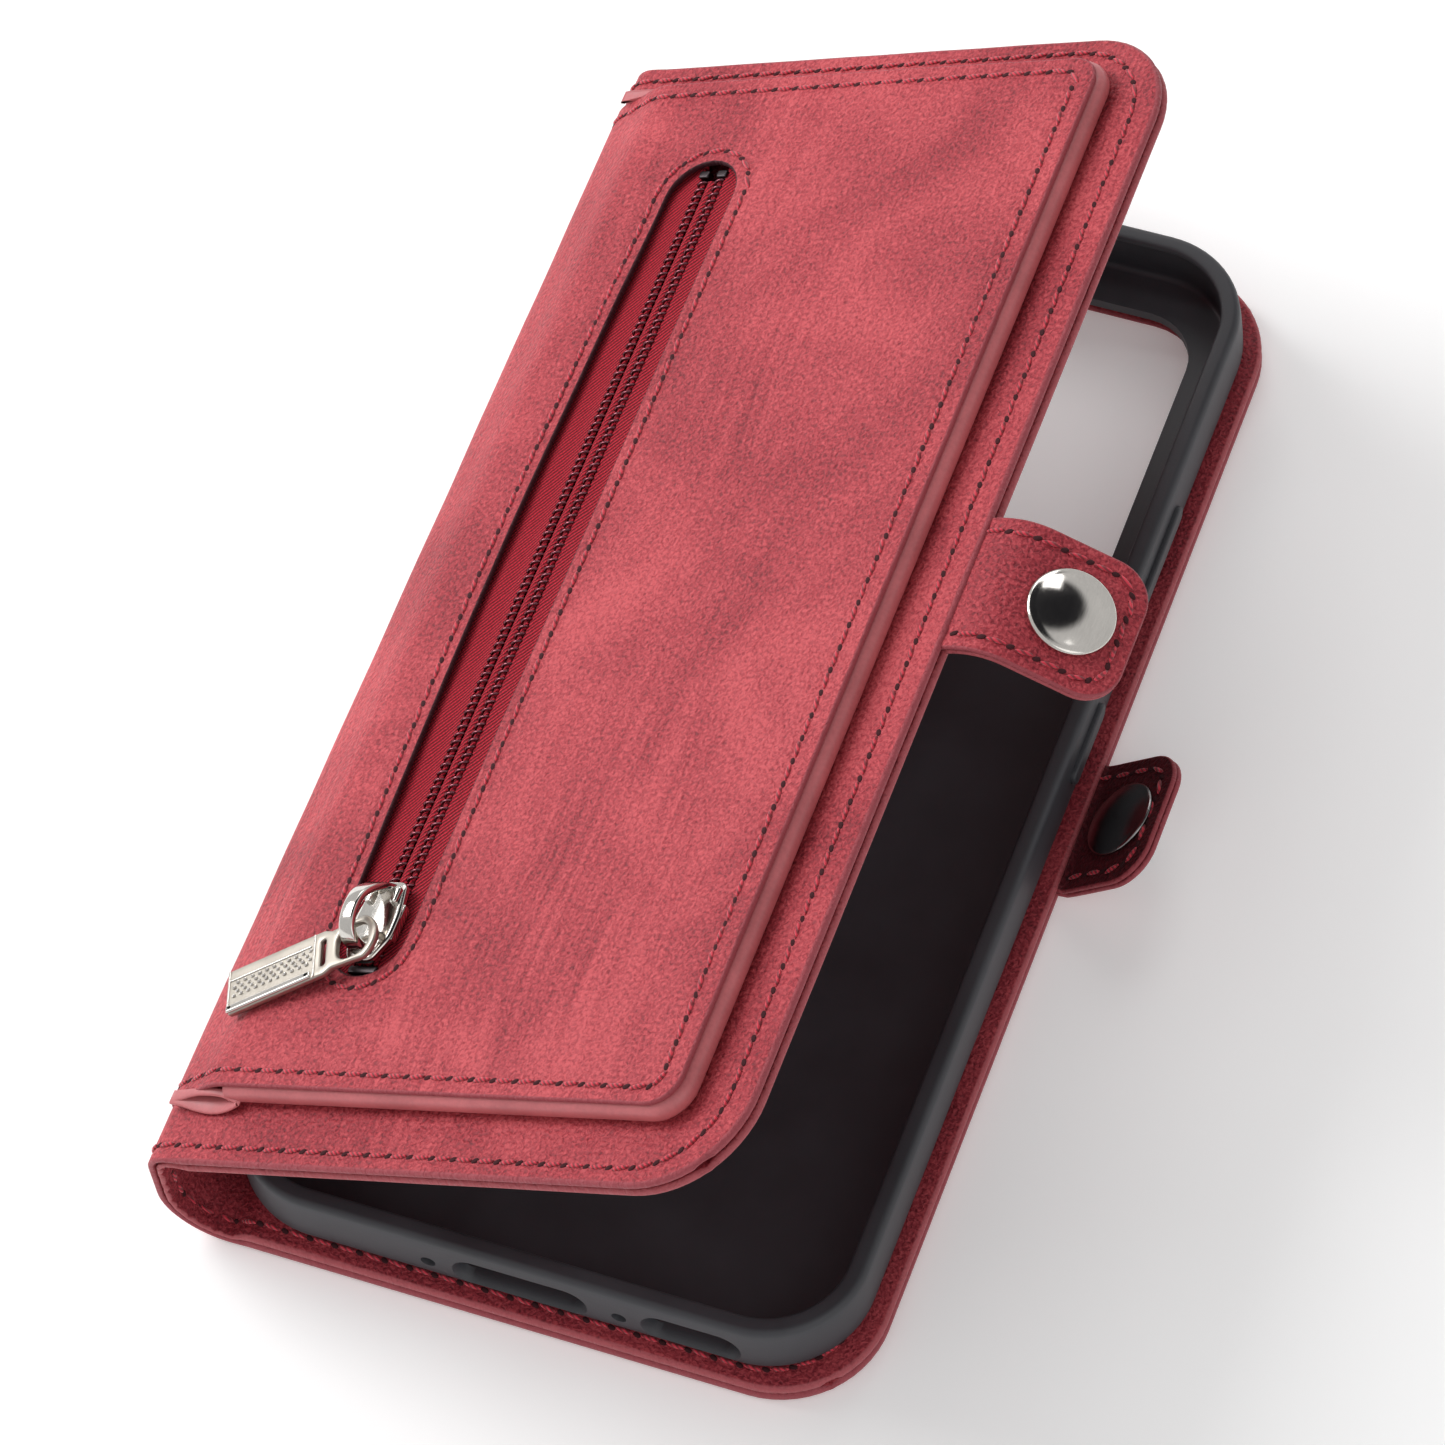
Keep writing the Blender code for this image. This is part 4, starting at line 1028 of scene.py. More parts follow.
# front: outer leather over the upper half of the spine, lining under it
low, high = (spineSplit, -half), (case["frontWidth"], half)
radii = (case["cornerR"], 0, 0, case["cornerR"])
frontLoop = roundedLoop(low, high, radii, 14)
frontRow = openAt(rowInset(low, high, radii, (side, ends, 0, ends)), spineSplit)
frontLeather = coverPanel("front_leather", [frontLoop], wrap,
                          outerHeights(case["frontWidth"], 0, 1, case["frontThick"]),
                          leatherOuter, spineSplit, [frontRow], cover["ripple"])
frontLining = coverPanel("front_inner_leather", [frontLoop], inwards,
                         innerHeights(case["frontWidth"], 0, 1, case["frontThick"]),
                         leatherInnerShaded, spineSplit, [], 0.05 * mm)
frontSewn = sewn("front_edge_stitches", [frontRow], -0.08 * mm, wrap)

# back: the same the other way, with the camera opening
opening = dict(centre=(21.5 * mm, 49.0 * mm), half=(13.0 * mm, 24.0 * mm), cornerR=7 * mm)


def cameraLoop(grow):
    (x, y), (hx, hy) = opening["centre"], opening["half"]
    s = flatStart - (x - lowCentre.x)
    low, high = (s - hx - grow, y - hy - grow), (s + hx + grow, y + hy + grow)
    return roundedLoop(low, high, (opening["cornerR"] + grow,) * 4, 8)[::-1]


low, high = (backEnd, -half), (spineSplit, half)
radii = (0, case["cornerR"], case["cornerR"], 0)
backLoop = roundedLoop(low, high, radii, 14)
backRow = rowInset(low, high, radii, (0, ends, side, ends))       # starts and ends at the spine already
backLeather = coverPanel("back_leather", [backLoop, cameraLoop(1.2 * mm)], wrap,
                         outerHeights(backEnd, flatStart, -1, case["backThick"]),
                         leatherOuter, spineSplit, [backRow], 0.0)
backLining = coverPanel("back_inner_leather", [backLoop, cameraLoop(0.6 * mm)], inwards,
                        innerHeights(backEnd, flatStart, -1, case["backThick"]),
                        leatherInnerShaded, spineSplit, [backRow], 0.0)
backSewn = sewn("back_edge_stitches", [backRow], -0.08 * mm, wrap)


def backInner(points):
    lifted = points.copy()
    onFlat = softStep(-(points[:, 0] - flatStart), 0.5 * mm, 3.0 * mm)
    thin = cover["liningTop"] + cover["liningThick"]
    lifted[:, 2] += thin + 0.1 * mm + (case["backThick"] - thin - 0.1 * mm) * onFlat
    return inwards(lifted)


backInnerSewn = sewn("back_inner_stitches", [backRow], -0.08 * mm, backInner, seed=5)

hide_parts("front_outer_panel", "spine_outer")
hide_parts("front_lining", "spine_lining")
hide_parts("back_outer_panel")
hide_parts("back_inner_panel")
bendOver([backLeather, backLining] + backSewn + backInnerSewn)
print("covers and spine made")


# zip pocket

pocket = dict(
    right=73.9 * mm,
    bottom=-73.8 * mm,
    top=76.2 * mm,
    cornerR=4.0 * mm,
    rise=3.0 * mm,
    skin=0.8 * mm,
    start=-6.5 * mm,
    rampFrom=-2.5 * mm,
    rampTo=8.0 * mm,
    overlap=0.3 * mm,
    stitchIn=2.7 * mm,
    endIn=2.1 * mm,
    windowX=20.75 * mm,
    windowHalf=5.15 * mm,
    windowBottom=-58.2 * mm,
    windowTop=62.8 * mm,
    bow=1.3 * mm,
    windowRow=1.8 * mm,
)


def pocketHeights(flat):
    share = softStep(flat[:, 0], pocket["rampFrom"], pocket["rampTo"])
    low = 0.04 * mm + (pocket["rise"] - 0.04 * mm) * share
    return low, low + pocket["overlap"] + (pocket["skin"] - pocket["overlap"]) * share


def windowLoop(grow):
    # slot with round ends whose spine side bows out a little
    r = pocket["windowHalf"] + grow
    x, low, high = pocket["windowX"], pocket["windowBottom"] - grow + r, pocket["windowTop"] + grow - r
    points = arcPoints((x, high), r, 0, 180, 14)
    steps = 24
    for i in range(1, steps):
        share = i / steps
        points.append((x - r - pocket["bow"] * math.sin(math.pi * share) ** 1.2, high + (low - high) * share))
    points += arcPoints((x, low), r, 180, 360, 14)
    return points


low, high = (pocket["start"], pocket["bottom"]), (pocket["right"], pocket["top"])
radii = (pocket["cornerR"], 0, 0, pocket["cornerR"])
pocketLoop = roundedLoop(low, high, radii, 8)
pocketRow = openAt(rowInset(low, high, radii, (pocket["stitchIn"], pocket["endIn"], 0, pocket["endIn"])),
                   pocket["start"])
windowRow = windowLoop(pocket["windowRow"])
windowRow.append(windowRow[0])
pocketLeather = panel("pocket_leather", [pocketLoop, windowLoop(0)[::-1]], wrap, pocketHeights, leatherPocket,
                      spacing=0.9 * mm, edgeR=0.3 * mm, stitchLines=[pocketRow, windowRow],
                      ripple=0.12 * mm, gridStep=(1.5 * mm, 2.4 * mm))

# the cut edge of the window is marked as its wall, which gets painted shade: a near-black colour standing in
# for the shadow in the slot
windowLine = np.array(windowLoop(0))
flatSpot = np.empty(len(pocketLeather.data.loops) * 2, np.float32)
pocketLeather.data.uv_layers["flat"].data.foreach_get("uv", flatSpot)
cornerVert = np.empty(len(pocketLeather.data.loops), int)
pocketLeather.data.loops.foreach_get("vertex_index", cornerVert)
flatAt = np.zeros((len(pocketLeather.data.vertices), 2))
flatAt[cornerVert] = flatSpot.reshape(-1, 2) * uvUnit
edgeAt = np.empty(len(flatAt), np.float32)
pocketLeather.data.attributes["edge"].data.foreach_get("value", edgeAt)
windowShadeMark = pocketLeather.data.attributes.new("wall", "FLOAT", "POINT")
inWindowShade = (distanceTo(flatAt, windowLine) < 0.2 * mm) & (edgeAt > 0.5)
windowShadeMark.data.foreach_set("value", inWindowShade.astype(np.float32))


def onPocket(points):
    lifted = points.copy()
    lifted[:, 2] += pocketHeights(points)[1]
    return wrap(lifted)


pocketSewn = sewn("pocket_stitches", [pocketRow, windowRow], -0.08 * mm, onPocket, seed=9)

gusset = dict(thick=0.75 * mm, low=0.05 * mm, bulge=0.75 * mm, start=7.5 * mm, inset=0.55 * mm)
path = roundedLoop((gusset["start"], pocket["bottom"]), (pocket["right"], pocket["top"]),
                   (pocket["cornerR"], 0, 0, pocket["cornerR"]), 10)
path = splitLong(openAt(path, gusset["start"]), 2.0 * mm, False)
normals = outwardNormals(path)
normals[0] = (0, -1)
normals[-1] = (0, 1)
rings = []
for (x, y), normal in zip(path, normals):
    top = float(pocketHeights(np.array([[x, y]]))[0][0]) + 0.1 * mm
    centre = (top + gusset["low"]) / 2
    reach = (top - gusset["low"]) / 2
    section = []
    for turn in np.linspace(-90, 90, 11):          # outer side, then back along the inner side
        t = math.radians(turn)
        section.append((gusset["bulge"] * math.cos(t) - gusset["inset"] * abs(math.sin(t)) ** 3,
                        centre + reach * math.sin(t)))
    for turn in np.linspace(90, -90, 11):
        t = math.radians(turn)
        section.append((gusset["bulge"] * math.cos(t) - gusset["inset"] * abs(math.sin(t)) ** 3
                        - gusset["thick"] * (0.55 + 0.45 * math.cos(t)),
                        centre + (reach - gusset["thick"] * 0.5) * math.sin(t)))
    rings.append([(x + normal[0] * out, y + normal[1] * out, z) for out, z in section])
pocketFold = sweep("pocket_side_fold", rings, onCover, leatherFold)

# the fold's open ends by the spine, each a flat loop
eye = dict(left=-1.2 * mm, right=9.5 * mm, wall=0.45 * mm, width=0.3 * mm, tall=1.05 * mm, proud=0.6 * mm,
           lean=1.7 * mm, round=0.15 * mm)
loops = []
for end, sign in ((pocket["bottom"], -1), (pocket["top"], 1)):
    line = []
    for turn in np.linspace(0, 2 * math.pi, 36, endpoint=False):
        share = (1 - math.cos(turn)) / 2            # 0 at the bead, 1 at the spine
        s = eye["right"] + (eye["left"] - eye["right"]) * share
        tall = eye["tall"] * (0.5 + 0.5 * math.sin(math.pi * min(share * 1.15, 1.0) ** 0.8))
        line.append((s, eye["tall"] + 0.15 * mm + tall * math.sin(turn)))
    line = np.array(line)
    inner = line + outwardNormals([tuple(p) for p in line]) * eye["wall"]
    if (inner[:, 0].max() - inner[:, 0].min()) > (line[:, 0].max() - line[:, 0].min()):
        inner = line - outwardNormals([tuple(p) for p in line]) * eye["wall"]
    rows = []
    for (s, z), (si, zi) in zip(line, inner):
        near = end + sign * (eye["proud"] + eye["lean"] * max(1 - z / (2 * eye["tall"]), 0))
        far = end - sign * eye["width"]
        rim = near - sign * eye["round"]
        rows.append([(s, far, z), (s, rim, z), ((s * 2 + si) / 3, near, (z * 2 + zi) / 3),
                     ((s + si * 2) / 3, near, (z + zi * 2) / 3), (si, rim, zi), (si, far, zi)])
    loops.append(sweep("loop", rows, wrap, leatherFold, closed=True))
pocketLoops = joined("pocket_fold_loops", loops)
pocketLoops.data.shade_smooth()
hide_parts("pocket_face")
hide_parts("pocket_gusset")
bendOver([frontLeather, frontLining, pocketLeather] + frontSewn + pocketSewn)
ride([pocketFold, pocketLoops], "front_cover")
print("zip pocket made")


# zip

chain = dict(
    top=2.7 * mm,
    tape=0.5 * mm,
    tapeReach=8.6 * mm,
    tapeEnd=6.0 * mm,
    rowX=1.28 * mm,
    radius=0.55 * mm,
    squeeze=0.8,
    wire=0.17 * mm,
    pitch=1.1 * mm,
    coreX=0.62 * mm,
    inset=0.7 * mm,
    stop=1.1 * mm,
    clipIn=0.6 * mm,
    clipOut=2.15 * mm,
    low=1.85 * mm,
    high=3.05 * mm,
)
zipX = pocket["windowX"]
stopLow = pocket["windowBottom"] + chain["inset"]
stopHigh = pocket["windowTop"] - chain["inset"]
coilLow, coilHigh = stopLow + chain["stop"] + 0.3 * mm, stopHigh - chain["stop"] - 0.3 * mm
coilMid = (chain["low"] + chain["high"]) / 2
clipSpan = (chain["low"], chain["high"] + 0.05 * mm)
for sign, side in ((-1, "left"), (1, "right")):
    near = zipX + sign * (chain["rowX"] + 0.55 * mm)
    far = zipX + sign * chain["tapeReach"]
    loop = roundedLoop((min(near, far), pocket["windowBottom"] - chain["tapeEnd"]),
                       (max(near, far), pocket["windowTop"] + chain["tapeEnd"]), (0.4 * mm,) * 4, 3)

    def tapeHeights(flat, near=near):
        away = np.abs(flat[:, 0] - near)
        rib = 0.09 * mm * np.cos(away / (0.62 * mm)) * np.exp(-away / (4 * mm))
        wave = 0.05 * mm * np.sin(flat[:, 1] / (3.1 * mm) + away / (1.7 * mm))
        base = chain["top"] - chain["tape"] - 0.12 * mm
        return base, base + chain["tape"] + rib + wave

    tape = panel(f"zip_tape_{side}_woven", [loop], onCover, tapeHeights, zipTwill, spacing=1.2 * mm,
                 edgeR=0.12 * mm, gridStep=(0.45 * mm, 1.3 * mm))
    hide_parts(f"zip_tape_{side}")
    ride([tape], "front_cover")

    # row of the coil, wound along the zip about the sewn cord
    length = coilHigh - coilLow
    source = bpy.data.objects.new("coilSource", bpy.data.meshes.new("coilSource"))
    bpy.context.scene.collection.objects.link(source)
    coil = grown(f"zip_coil_{side}_wire", windings,
                 {"Length": length, "Turns": length / chain["pitch"], "Radius": chain["radius"],
                  "Wire": chain["wire"], "Squeeze": chain["squeeze"], "Finish": coilWire}, source)
    shift = chain["pitch"] * 0.5 if sign > 0 else 0.0

    def coilPlace(points, sign=sign, shift=shift):
        # the tree winds along Z, and its Y is the squeezed way
        flat = np.stack([zipX + sign * (chain["rowX"] + points[:, 0] * sign * 1.15),
                         coilLow + points[:, 2] + shift * 0.5,
                         coilMid + 0.1 * mm + points[:, 1]], 1)
        return onCover(flat)

    remap(coil, coilPlace)
    tidyMesh(coil)
    coil.data.shade_smooth()
    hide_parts(f"zip_coil_{side}")
    ride([coil], "front_cover")

    # top stop, a small clip round the end of the row
    inner, outer = zipX + sign * chain["clipIn"], zipX + sign * chain["clipOut"]
    loop = roundedLoop((min(inner, outer), stopHigh - chain["stop"]), (max(inner, outer), stopHigh),
                       (0.3 * mm,) * 4, 4)
    clip = panel(f"zip_top_stop_{side}_clip", [loop], onCover, clipSpan, stopMetalShaded, spacing=0.4 * mm,
                 edgeR=0.22 * mm)
    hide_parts(f"zip_top_stop_{side}")
    ride([clip], "front_cover")
loop = roundedLoop((zipX - chain["clipOut"], stopLow), (zipX + chain["clipOut"], stopLow + chain["stop"]),
                   (0.35 * mm,) * 4, 4)
clip = panel("zip_bottom_stop_clip", [loop], onCover, clipSpan, stopMetalShaded, spacing=0.4 * mm, edgeR=0.25 * mm)
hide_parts("zip_bottom_stop")
ride([clip], "front_cover")

# crimson cords: one inside each row and the sewing between them
cords = []
for x, across, tall in ((-chain["rowX"], 0.33 * mm, 0.26 * mm), (chain["rowX"], 0.33 * mm, 0.26 * mm),
                        (0, chain["coreX"], 0.3 * mm)):
    rings = []
    for y in np.arange(coilLow, coilHigh, 0.55 * mm):
        swell = 1 + 0.16 * math.cos(2 * math.pi * (y - coilLow) / chain["pitch"])
        turns = np.linspace(0, 2 * math.pi, 8, endpoint=False)
        rings.append([(zipX + x + across * math.cos(t), y, coilMid + 0.08 * mm + tall * swell * math.sin(t))
                      for t in turns])
    cord = sweep("cord", rings, onCover, zipTwill)
    setFlatUv(cord, np.array([p for ring in rings for p in ring]))
    cords.append(cord)
sewing = joined("zip_sewing_cords", cords)
sewing.data.shade_smooth()
ride([sewing], "front_cover")
print("zip made")


# slider and pull

slider = dict(
    centre=(pocket["windowX"], joints["pull_swing"]["pos_m"][1] + 4.125 * mm),
    plateLow=3.35 * mm,
    plate=1.0 * mm,
    lowerLow=0.55 * mm,
    shoulder=3.3 * mm,
    rear=2.4 * mm,
    nose=1.8 * mm,
    end=5.5 * mm,
    crown=0.22 * mm,
    strap=1.1 * mm,
    bar=1.0 * mm,
    flange=2.75 * mm,
    lugX=1.9 * mm,
    lug=0.5 * mm,
)
cx, cy = slider["centre"]


def sliderLoop():
    side = [(slider["rear"], slider["end"]), (slider["shoulder"], 1.1 * mm),
            (slider["shoulder"], -2.2 * mm), (slider["nose"], -slider["end"])]
    points = side[::-1] + [(-x, y) for x, y in side]
    rounded = []
    for i, point in enumerate(points):          # each corner cut round
        a, b, c = (Vector(points[i - 1]), Vector(point), Vector(points[(i + 1) % len(points)]))
        reach = 0.9 * mm
        start = b + (a - b).normalized() * reach
        stop = b + (c - b).normalized() * reach
        for k in range(5):
            t = k / 4
            rounded.append(tuple((1 - t) ** 2 * start + 2 * t * (1 - t) * b + t * t * stop))
    return [(x + cx, y + cy) for x, y in rounded]


def crowned(flat):
    flat = flat.copy()
    across = (flat[:, 0] - cx) / slider["shoulder"]
    upper = flat[:, 2] > slider["plateLow"] + slider["plate"] * 0.6
    flat[upper, 2] += slider["crown"] * (1 - across[upper] ** 2)
    return flat


top = slider["plateLow"] + slider["plate"]
pieces = [panel("plate", [sliderLoop()], onCover, (slider["plateLow"], top), nickelBright, spacing=0.5 * mm,
                edgeR=0.38 * mm, shape=crowned)]
lowSpan = (slider["lowerLow"], slider["lowerLow"] + slider["plate"])
pieces.append(panel("lower", [sliderLoop()], onCover, lowSpan, nickelBright, spacing=0.5 * mm,
                    edgeR=0.38 * mm))
for sign in (-1, 1):                            # turned-down sides that guide the rows
    near, far = cx + sign * slider["flange"], cx + sign * slider["shoulder"]
    flange = roundedLoop((min(near, far), cy - 2.3 * mm), (max(near, far), cy + 2.6 * mm), (0.2 * mm,) * 4, 3)
    pieces.append(panel("flange", [flange], onCover, (slider["plateLow"] - 0.42 * mm, top - 0.3 * mm),
                        nickelBright, spacing=0.4 * mm, edgeR=0.15 * mm))
post = [(cx, cy - 4.9 * mm), (cx + 0.5 * mm, cy - 3 * mm), (cx, cy - 1.1 * mm), (cx - 0.5 * mm, cy - 3 * mm)]
pieces.append(panel("post", [post], onCover, (1.4 * mm, 3.5 * mm), nickelBright, spacing=0.5 * mm,
                    edgeR=0.05 * mm))

# strap over the plate: a bent strip with a rounded section, in millimetres along and above the plate
strapLine = [(4.62, 0), (3.6, 2.1), (1.5, 4.15), (-0.4, 4.7),
             (-2.3, 4.5), (-3.7, 3.6), (-4.2, 2.2), (-4.1, 0)]


def smoothLine(points, steps=6):
    p = [np.array(q, float) for q in points]
    p = [2 * p[0] - p[1]] + p + [2 * p[-1] - p[-2]]
    line = []
    for i in range(1, len(p) - 2):
        for k in range(steps):
            t = k / steps
            line.append(0.5 * (2 * p[i] + (p[i + 1] - p[i - 1]) * t
                               + (2 * p[i - 1] - 5 * p[i] + 4 * p[i + 1] - p[i + 2]) * t ** 2
                               + (3 * p[i] - p[i - 1] - 3 * p[i + 1] + p[i + 2]) * t ** 3))
    line.append(p[-2])
    return line


def stripRings(line, halfWidth, halfThick, corner, widen):
    rings = []
    for i, point in enumerate(line):
        along = line[min(i + 1, len(line) - 1)] - line[max(i - 1, 0)]
        along = along / np.linalg.norm(along)
        out = np.array((along[1], -along[0]))
        wide = halfWidth * widen(i / (len(line) - 1))
        section = roundedLoop((-wide, -halfThick), (wide, halfThick), (corner,) * 4, 3)
        rings.append([(w, *(point + out * t)) for w, t in section])
    return rings


line = [np.array(p) * mm for p in smoothLine(strapLine)]
rings = stripRings(line, slider["strap"], slider["bar"] / 2, 0.3 * mm,
                   lambda t: 1.25 - 0.35 * math.sin(math.pi * t))
rings = [[(cx + w, cy + y, top - 0.15 * mm + z) for w, y, z in ring] for ring in rings]
pieces.append(sweep("strap", rings, onCover, nickelBright))
# two lugs behind the strap
for sign in (-1, 1):
    x = cx + sign * slider["lugX"]
    lug = roundedLoop((x - slider["lug"], cy + 2.2 * mm), (x + slider["lug"], cy + 4.6 * mm),
                      (0.45 * mm,) * 4, 4)
    pieces.append(panel("lug", [lug], onCover, (top - 0.2 * mm, top + 0.75 * mm), nickelBright,
                        spacing=0.4 * mm, edgeR=0.3 * mm))
zipSlider = joined("zip_slider_body", pieces)
zipSlider.data.shade_smooth()
zipSlider.data.set_sharp_from_angle(angle=math.radians(45))
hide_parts("zip_slider")
ride([zipSlider], "zip_slider")

pull = dict(
    length=18.4 * mm,
    half=3.25 * mm,
    thick=1.1 * mm,
    eyeR=3.5 * mm,
    hole=2.3 * mm,
    neck=3.9 * mm,
    bodyFrom=5.6 * mm,
    turn=202.0,
    drop=5.5,
    # rails: middle, half width, height
    rails=((2.62 * mm, 0.5 * mm, 0.3 * mm), (-1.55 * mm, 0.15 * mm, 0.16 * mm)),
    endR=0.6 * mm,
    eyeTurn=118,
    studPitch=0.98 * mm,
    studRows=4,
    studGap=0.62 * mm,
    studFrom=-0.98 * mm,
)
coverMatrix = Matrix((
    (coverAcross.x, 0, coverNormal.x, coverOrigin.x),
    (0, 1, 0, 0),
    (coverAcross.z, 0, coverNormal.z, coverOrigin.z),
    (0, 0, 0, 1)))
pullMatrix = (Matrix.Translation(Vector(joints["pull_swing"]["pos_m"])) @ coverMatrix.to_3x3().to_4x4()
              @ Matrix.Rotation(math.radians(pull["turn"]), 4, "Z")
              @ Matrix.Rotation(math.radians(pull["drop"]), 4, "Y"))
onPull = placed(pullMatrix)

loop = arcPoints((0, 0), pull["eyeR"], pull["eyeTurn"], 360 - pull["eyeTurn"], 22)
loop += [(pull["neck"] - 0.9 * mm, -2.75 * mm), (pull["neck"] + 0.2 * mm, -pull["half"])]
endX, endY = pull["length"] - pull["endR"], pull["half"] - pull["endR"]
loop += arcPoints((endX, -endY), pull["endR"], -90, 0, 4) + arcPoints((endX, endY), pull["endR"], 0, 90, 4)
loop += [(pull["neck"] + 0.2 * mm, pull["half"]), (pull["neck"] - 0.9 * mm, 2.75 * mm)]
hole = roundedLoop((-pull["hole"], -pull["hole"]), (pull["hole"], pull["hole"]), (1.7 * mm,) * 4, 6)[::-1]
slot = roundedLoop((pull["neck"], -1.9 * mm), (pull["neck"] + 0.7 * mm, 1.9 * mm), (0.3 * mm,) * 4, 4)[::-1]
body = panel("zip_pull_plate", [loop, hole, slot], onPull, (-pull["thick"] / 2, pull["thick"] / 2 - 0.2 * mm),
             nickelSatin, spacing=0.5 * mm, edgeR=0.28 * mm)
extras = []
level = pull["thick"] / 2 - 0.2 * mm
first, last = pull["bodyFrom"], pull["length"] - 0.1 * mm
for centre, wide, high in pull["rails"]:
    rail = roundedLoop((first + 0.25 * mm, centre - wide), (last, centre + wide),
                       (min(wide * 0.8, 0.2 * mm),) * 4, 3)
    extras.append(panel("rail", [rail], onPull, (level - 0.2 * mm, level + high), nickelBright,
                        spacing=0.6 * mm, edgeR=min(wide * 0.9, high + 0.1 * mm)))
for near, far in ((first - 0.3 * mm, first), (last - 0.3 * mm, last)):
    bar = roundedLoop((near, -pull["half"] + 0.15 * mm), (far, pull["half"] - 0.15 * mm), (0.12 * mm,) * 4, 3)
    extras.append(panel("bar", [bar], onPull, (level - 0.2 * mm, level + 0.16 * mm), nickelBright,
                        spacing=0.6 * mm, edgeR=0.12 * mm))
rails = joined("zip_pull_rails", extras)
rows = []
count = int((last - first - 1.0 * mm) / pull["studPitch"])
for i in range(pull["studRows"]):
    y = pull["studFrom"] + i * pull["studGap"]
    start = first + 0.45 * mm + (i % 2) * pull["studPitch"] / 2
    rows.append([(start, y, level + 0.02 * mm), (start + count * pull["studPitch"], y, level + 0.02 * mm)])
studs = grown("zip_pull_studs", beads, {"Pitch": pull["studPitch"], "Length": 0.62 * mm, "Width": 0.54 * mm,
                                         "Height": 0.5 * mm, "Rings": 4, "Sides": 6, "Seed": 1,
                                         "Finish": nickelBright}, lineObject("studLines", rows))
remap(studs, onPull)
tidyMesh(studs)
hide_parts("zip_pull")
ride([body, rails, studs], "zip_pull")
print("slider and pull made")


# closing tabs

tab = dict(
    centreY=0.8 * mm,
    half=9.3 * mm,
    cornerR=5.0 * mm,
    ply=0.72 * mm,
    gap=0.12 * mm,
    rootIn=1.5 * mm,
    stitchIn=2.0 * mm,
    bendFrom=1.0 * mm,
)
tabs = dict(
    front=dict(length=20.0 * mm, start=-5.0, bend=-43.0, over=5.8 * mm, snapAt=11.7 * mm,
               pivot=Vector(joints["front_tab_fold"]["pos_m"]), tilt=coverTilt, body="front_cover"),
    back=dict(length=13.4 * mm, start=38.0, bend=4.0, over=0.3 * mm, snapAt=6.6 * mm,
              pivot=Vector(joints["back_tab_fold"]["pos_m"]), tilt=0.0, body="back_cover"),
)


def tabLine(along, spec):
    # place and heading on the bent middle line, at each distance from the fold
    start, total = math.radians(spec["start"]), math.radians(spec["bend"])
    radius = spec["over"] / total
    first = np.minimum(along, tab["bendFrom"])
    done = np.clip((along - tab["bendFrom"]) / spec["over"], 0, 1)
    rest = np.maximum(along - tab["bendFrom"] - spec["over"], 0)
    heading = start + total * done
    lead = np.where(along < 0, 0.0, start)          # straight in the cover, before the fold
    x = np.cos(lead) * first + radius * (np.sin(heading) - math.sin(start)) + np.cos(heading) * rest
    z = np.sin(lead) * first + radius * (math.cos(start) - np.cos(heading)) + np.sin(heading) * rest
    return x, z, np.where(along < 0, 0.0, heading)


def tabPlace(spec):
    def place(points):
        x, z, heading = tabLine(points[:, 0], spec)
        x = x - np.sin(heading) * points[:, 2]
        z = z + np.cos(heading) * points[:, 2]
        c, s = math.cos(spec["tilt"]), math.sin(spec["tilt"])
        return np.stack([spec["pivot"].x + c * x - s * z, tab["centreY"] + points[:, 1],
                         spec["pivot"].z + s * x + c * z], 1)
    return place


def snapPlace(spec, side):
    x, z, heading = (float(v) for v in tabLine(np.array(spec["snapAt"]), spec))
    turn = heading + spec["tilt"]
    c, s = math.cos(spec["tilt"]), math.sin(spec["tilt"])
    normal = Vector((-math.sin(turn), 0, math.cos(turn))) * side
    across = Vector((math.cos(turn), 0, math.sin(turn)))
    centre = Vector((spec["pivot"].x + c * x - s * z, tab["centreY"], spec["pivot"].z + s * x + c * z))
    centre += normal * (tab["gap"] / 2 + tab["ply"])
    length = normal.cross(across)
    return placed(Matrix(((across.x, length.x, normal.x, centre.x), (across.y, length.y, normal.y, centre.y),
                          (across.z, length.z, normal.z, centre.z), (0, 0, 0, 1))))


def makeTab(which, upperLook, lowerLook):
    spec = tabs[which]
    low, high = (-tab["rootIn"], -tab["half"]), (spec["length"], tab["half"])
    radii = (tab["cornerR"], 0, 0, tab["cornerR"])
    loop = roundedLoop(low, high, radii, 10)
    inset = tab["stitchIn"]
    row = openAt(rowInset(low, high, radii, (inset, inset, 0, inset)), low[0])
    place = tabPlace(spec)
    near, far = tab["gap"] / 2, tab["gap"] / 2 + tab["ply"]
    made = []
    for name, side, look in (("upper", 1, upperLook), ("lower", -1, lowerLook)):
        flipped = (lambda p: place(p * np.array((1, 1, -1)))) if side < 0 else place
        ply = panel(f"{which}_tab_{name}_leather", [loop], flipped, (near, far), look, spacing=0.8 * mm,
                    edgeR=0.32 * mm, stitchLines=[row], ripple=0.06 * mm, gridStep=(1.0 * mm, 1.8 * mm))
        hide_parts(f"{which}_tab_{name}")
        made.append(ply)
        made += sewn(f"{which}_tab_{name}_stitches", [trimmed(row, 1.6 * mm)], far - 0.06 * mm, flipped,
                     seed=11 + side)
    for piece in made:
        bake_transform(piece)
    return made


frontTab = makeTab("front", leatherTab, leatherInnerShaded)
backTab = makeTab("back", leatherTabInsideShaded, leatherTab)

snap = dict(capR=5.5 * mm, capHigh=2.0 * mm, discR=5.2 * mm, discHigh=1.4 * mm, magnetR=4.8 * mm,
            magnetHigh=1.0 * mm, foot=0.3 * mm)


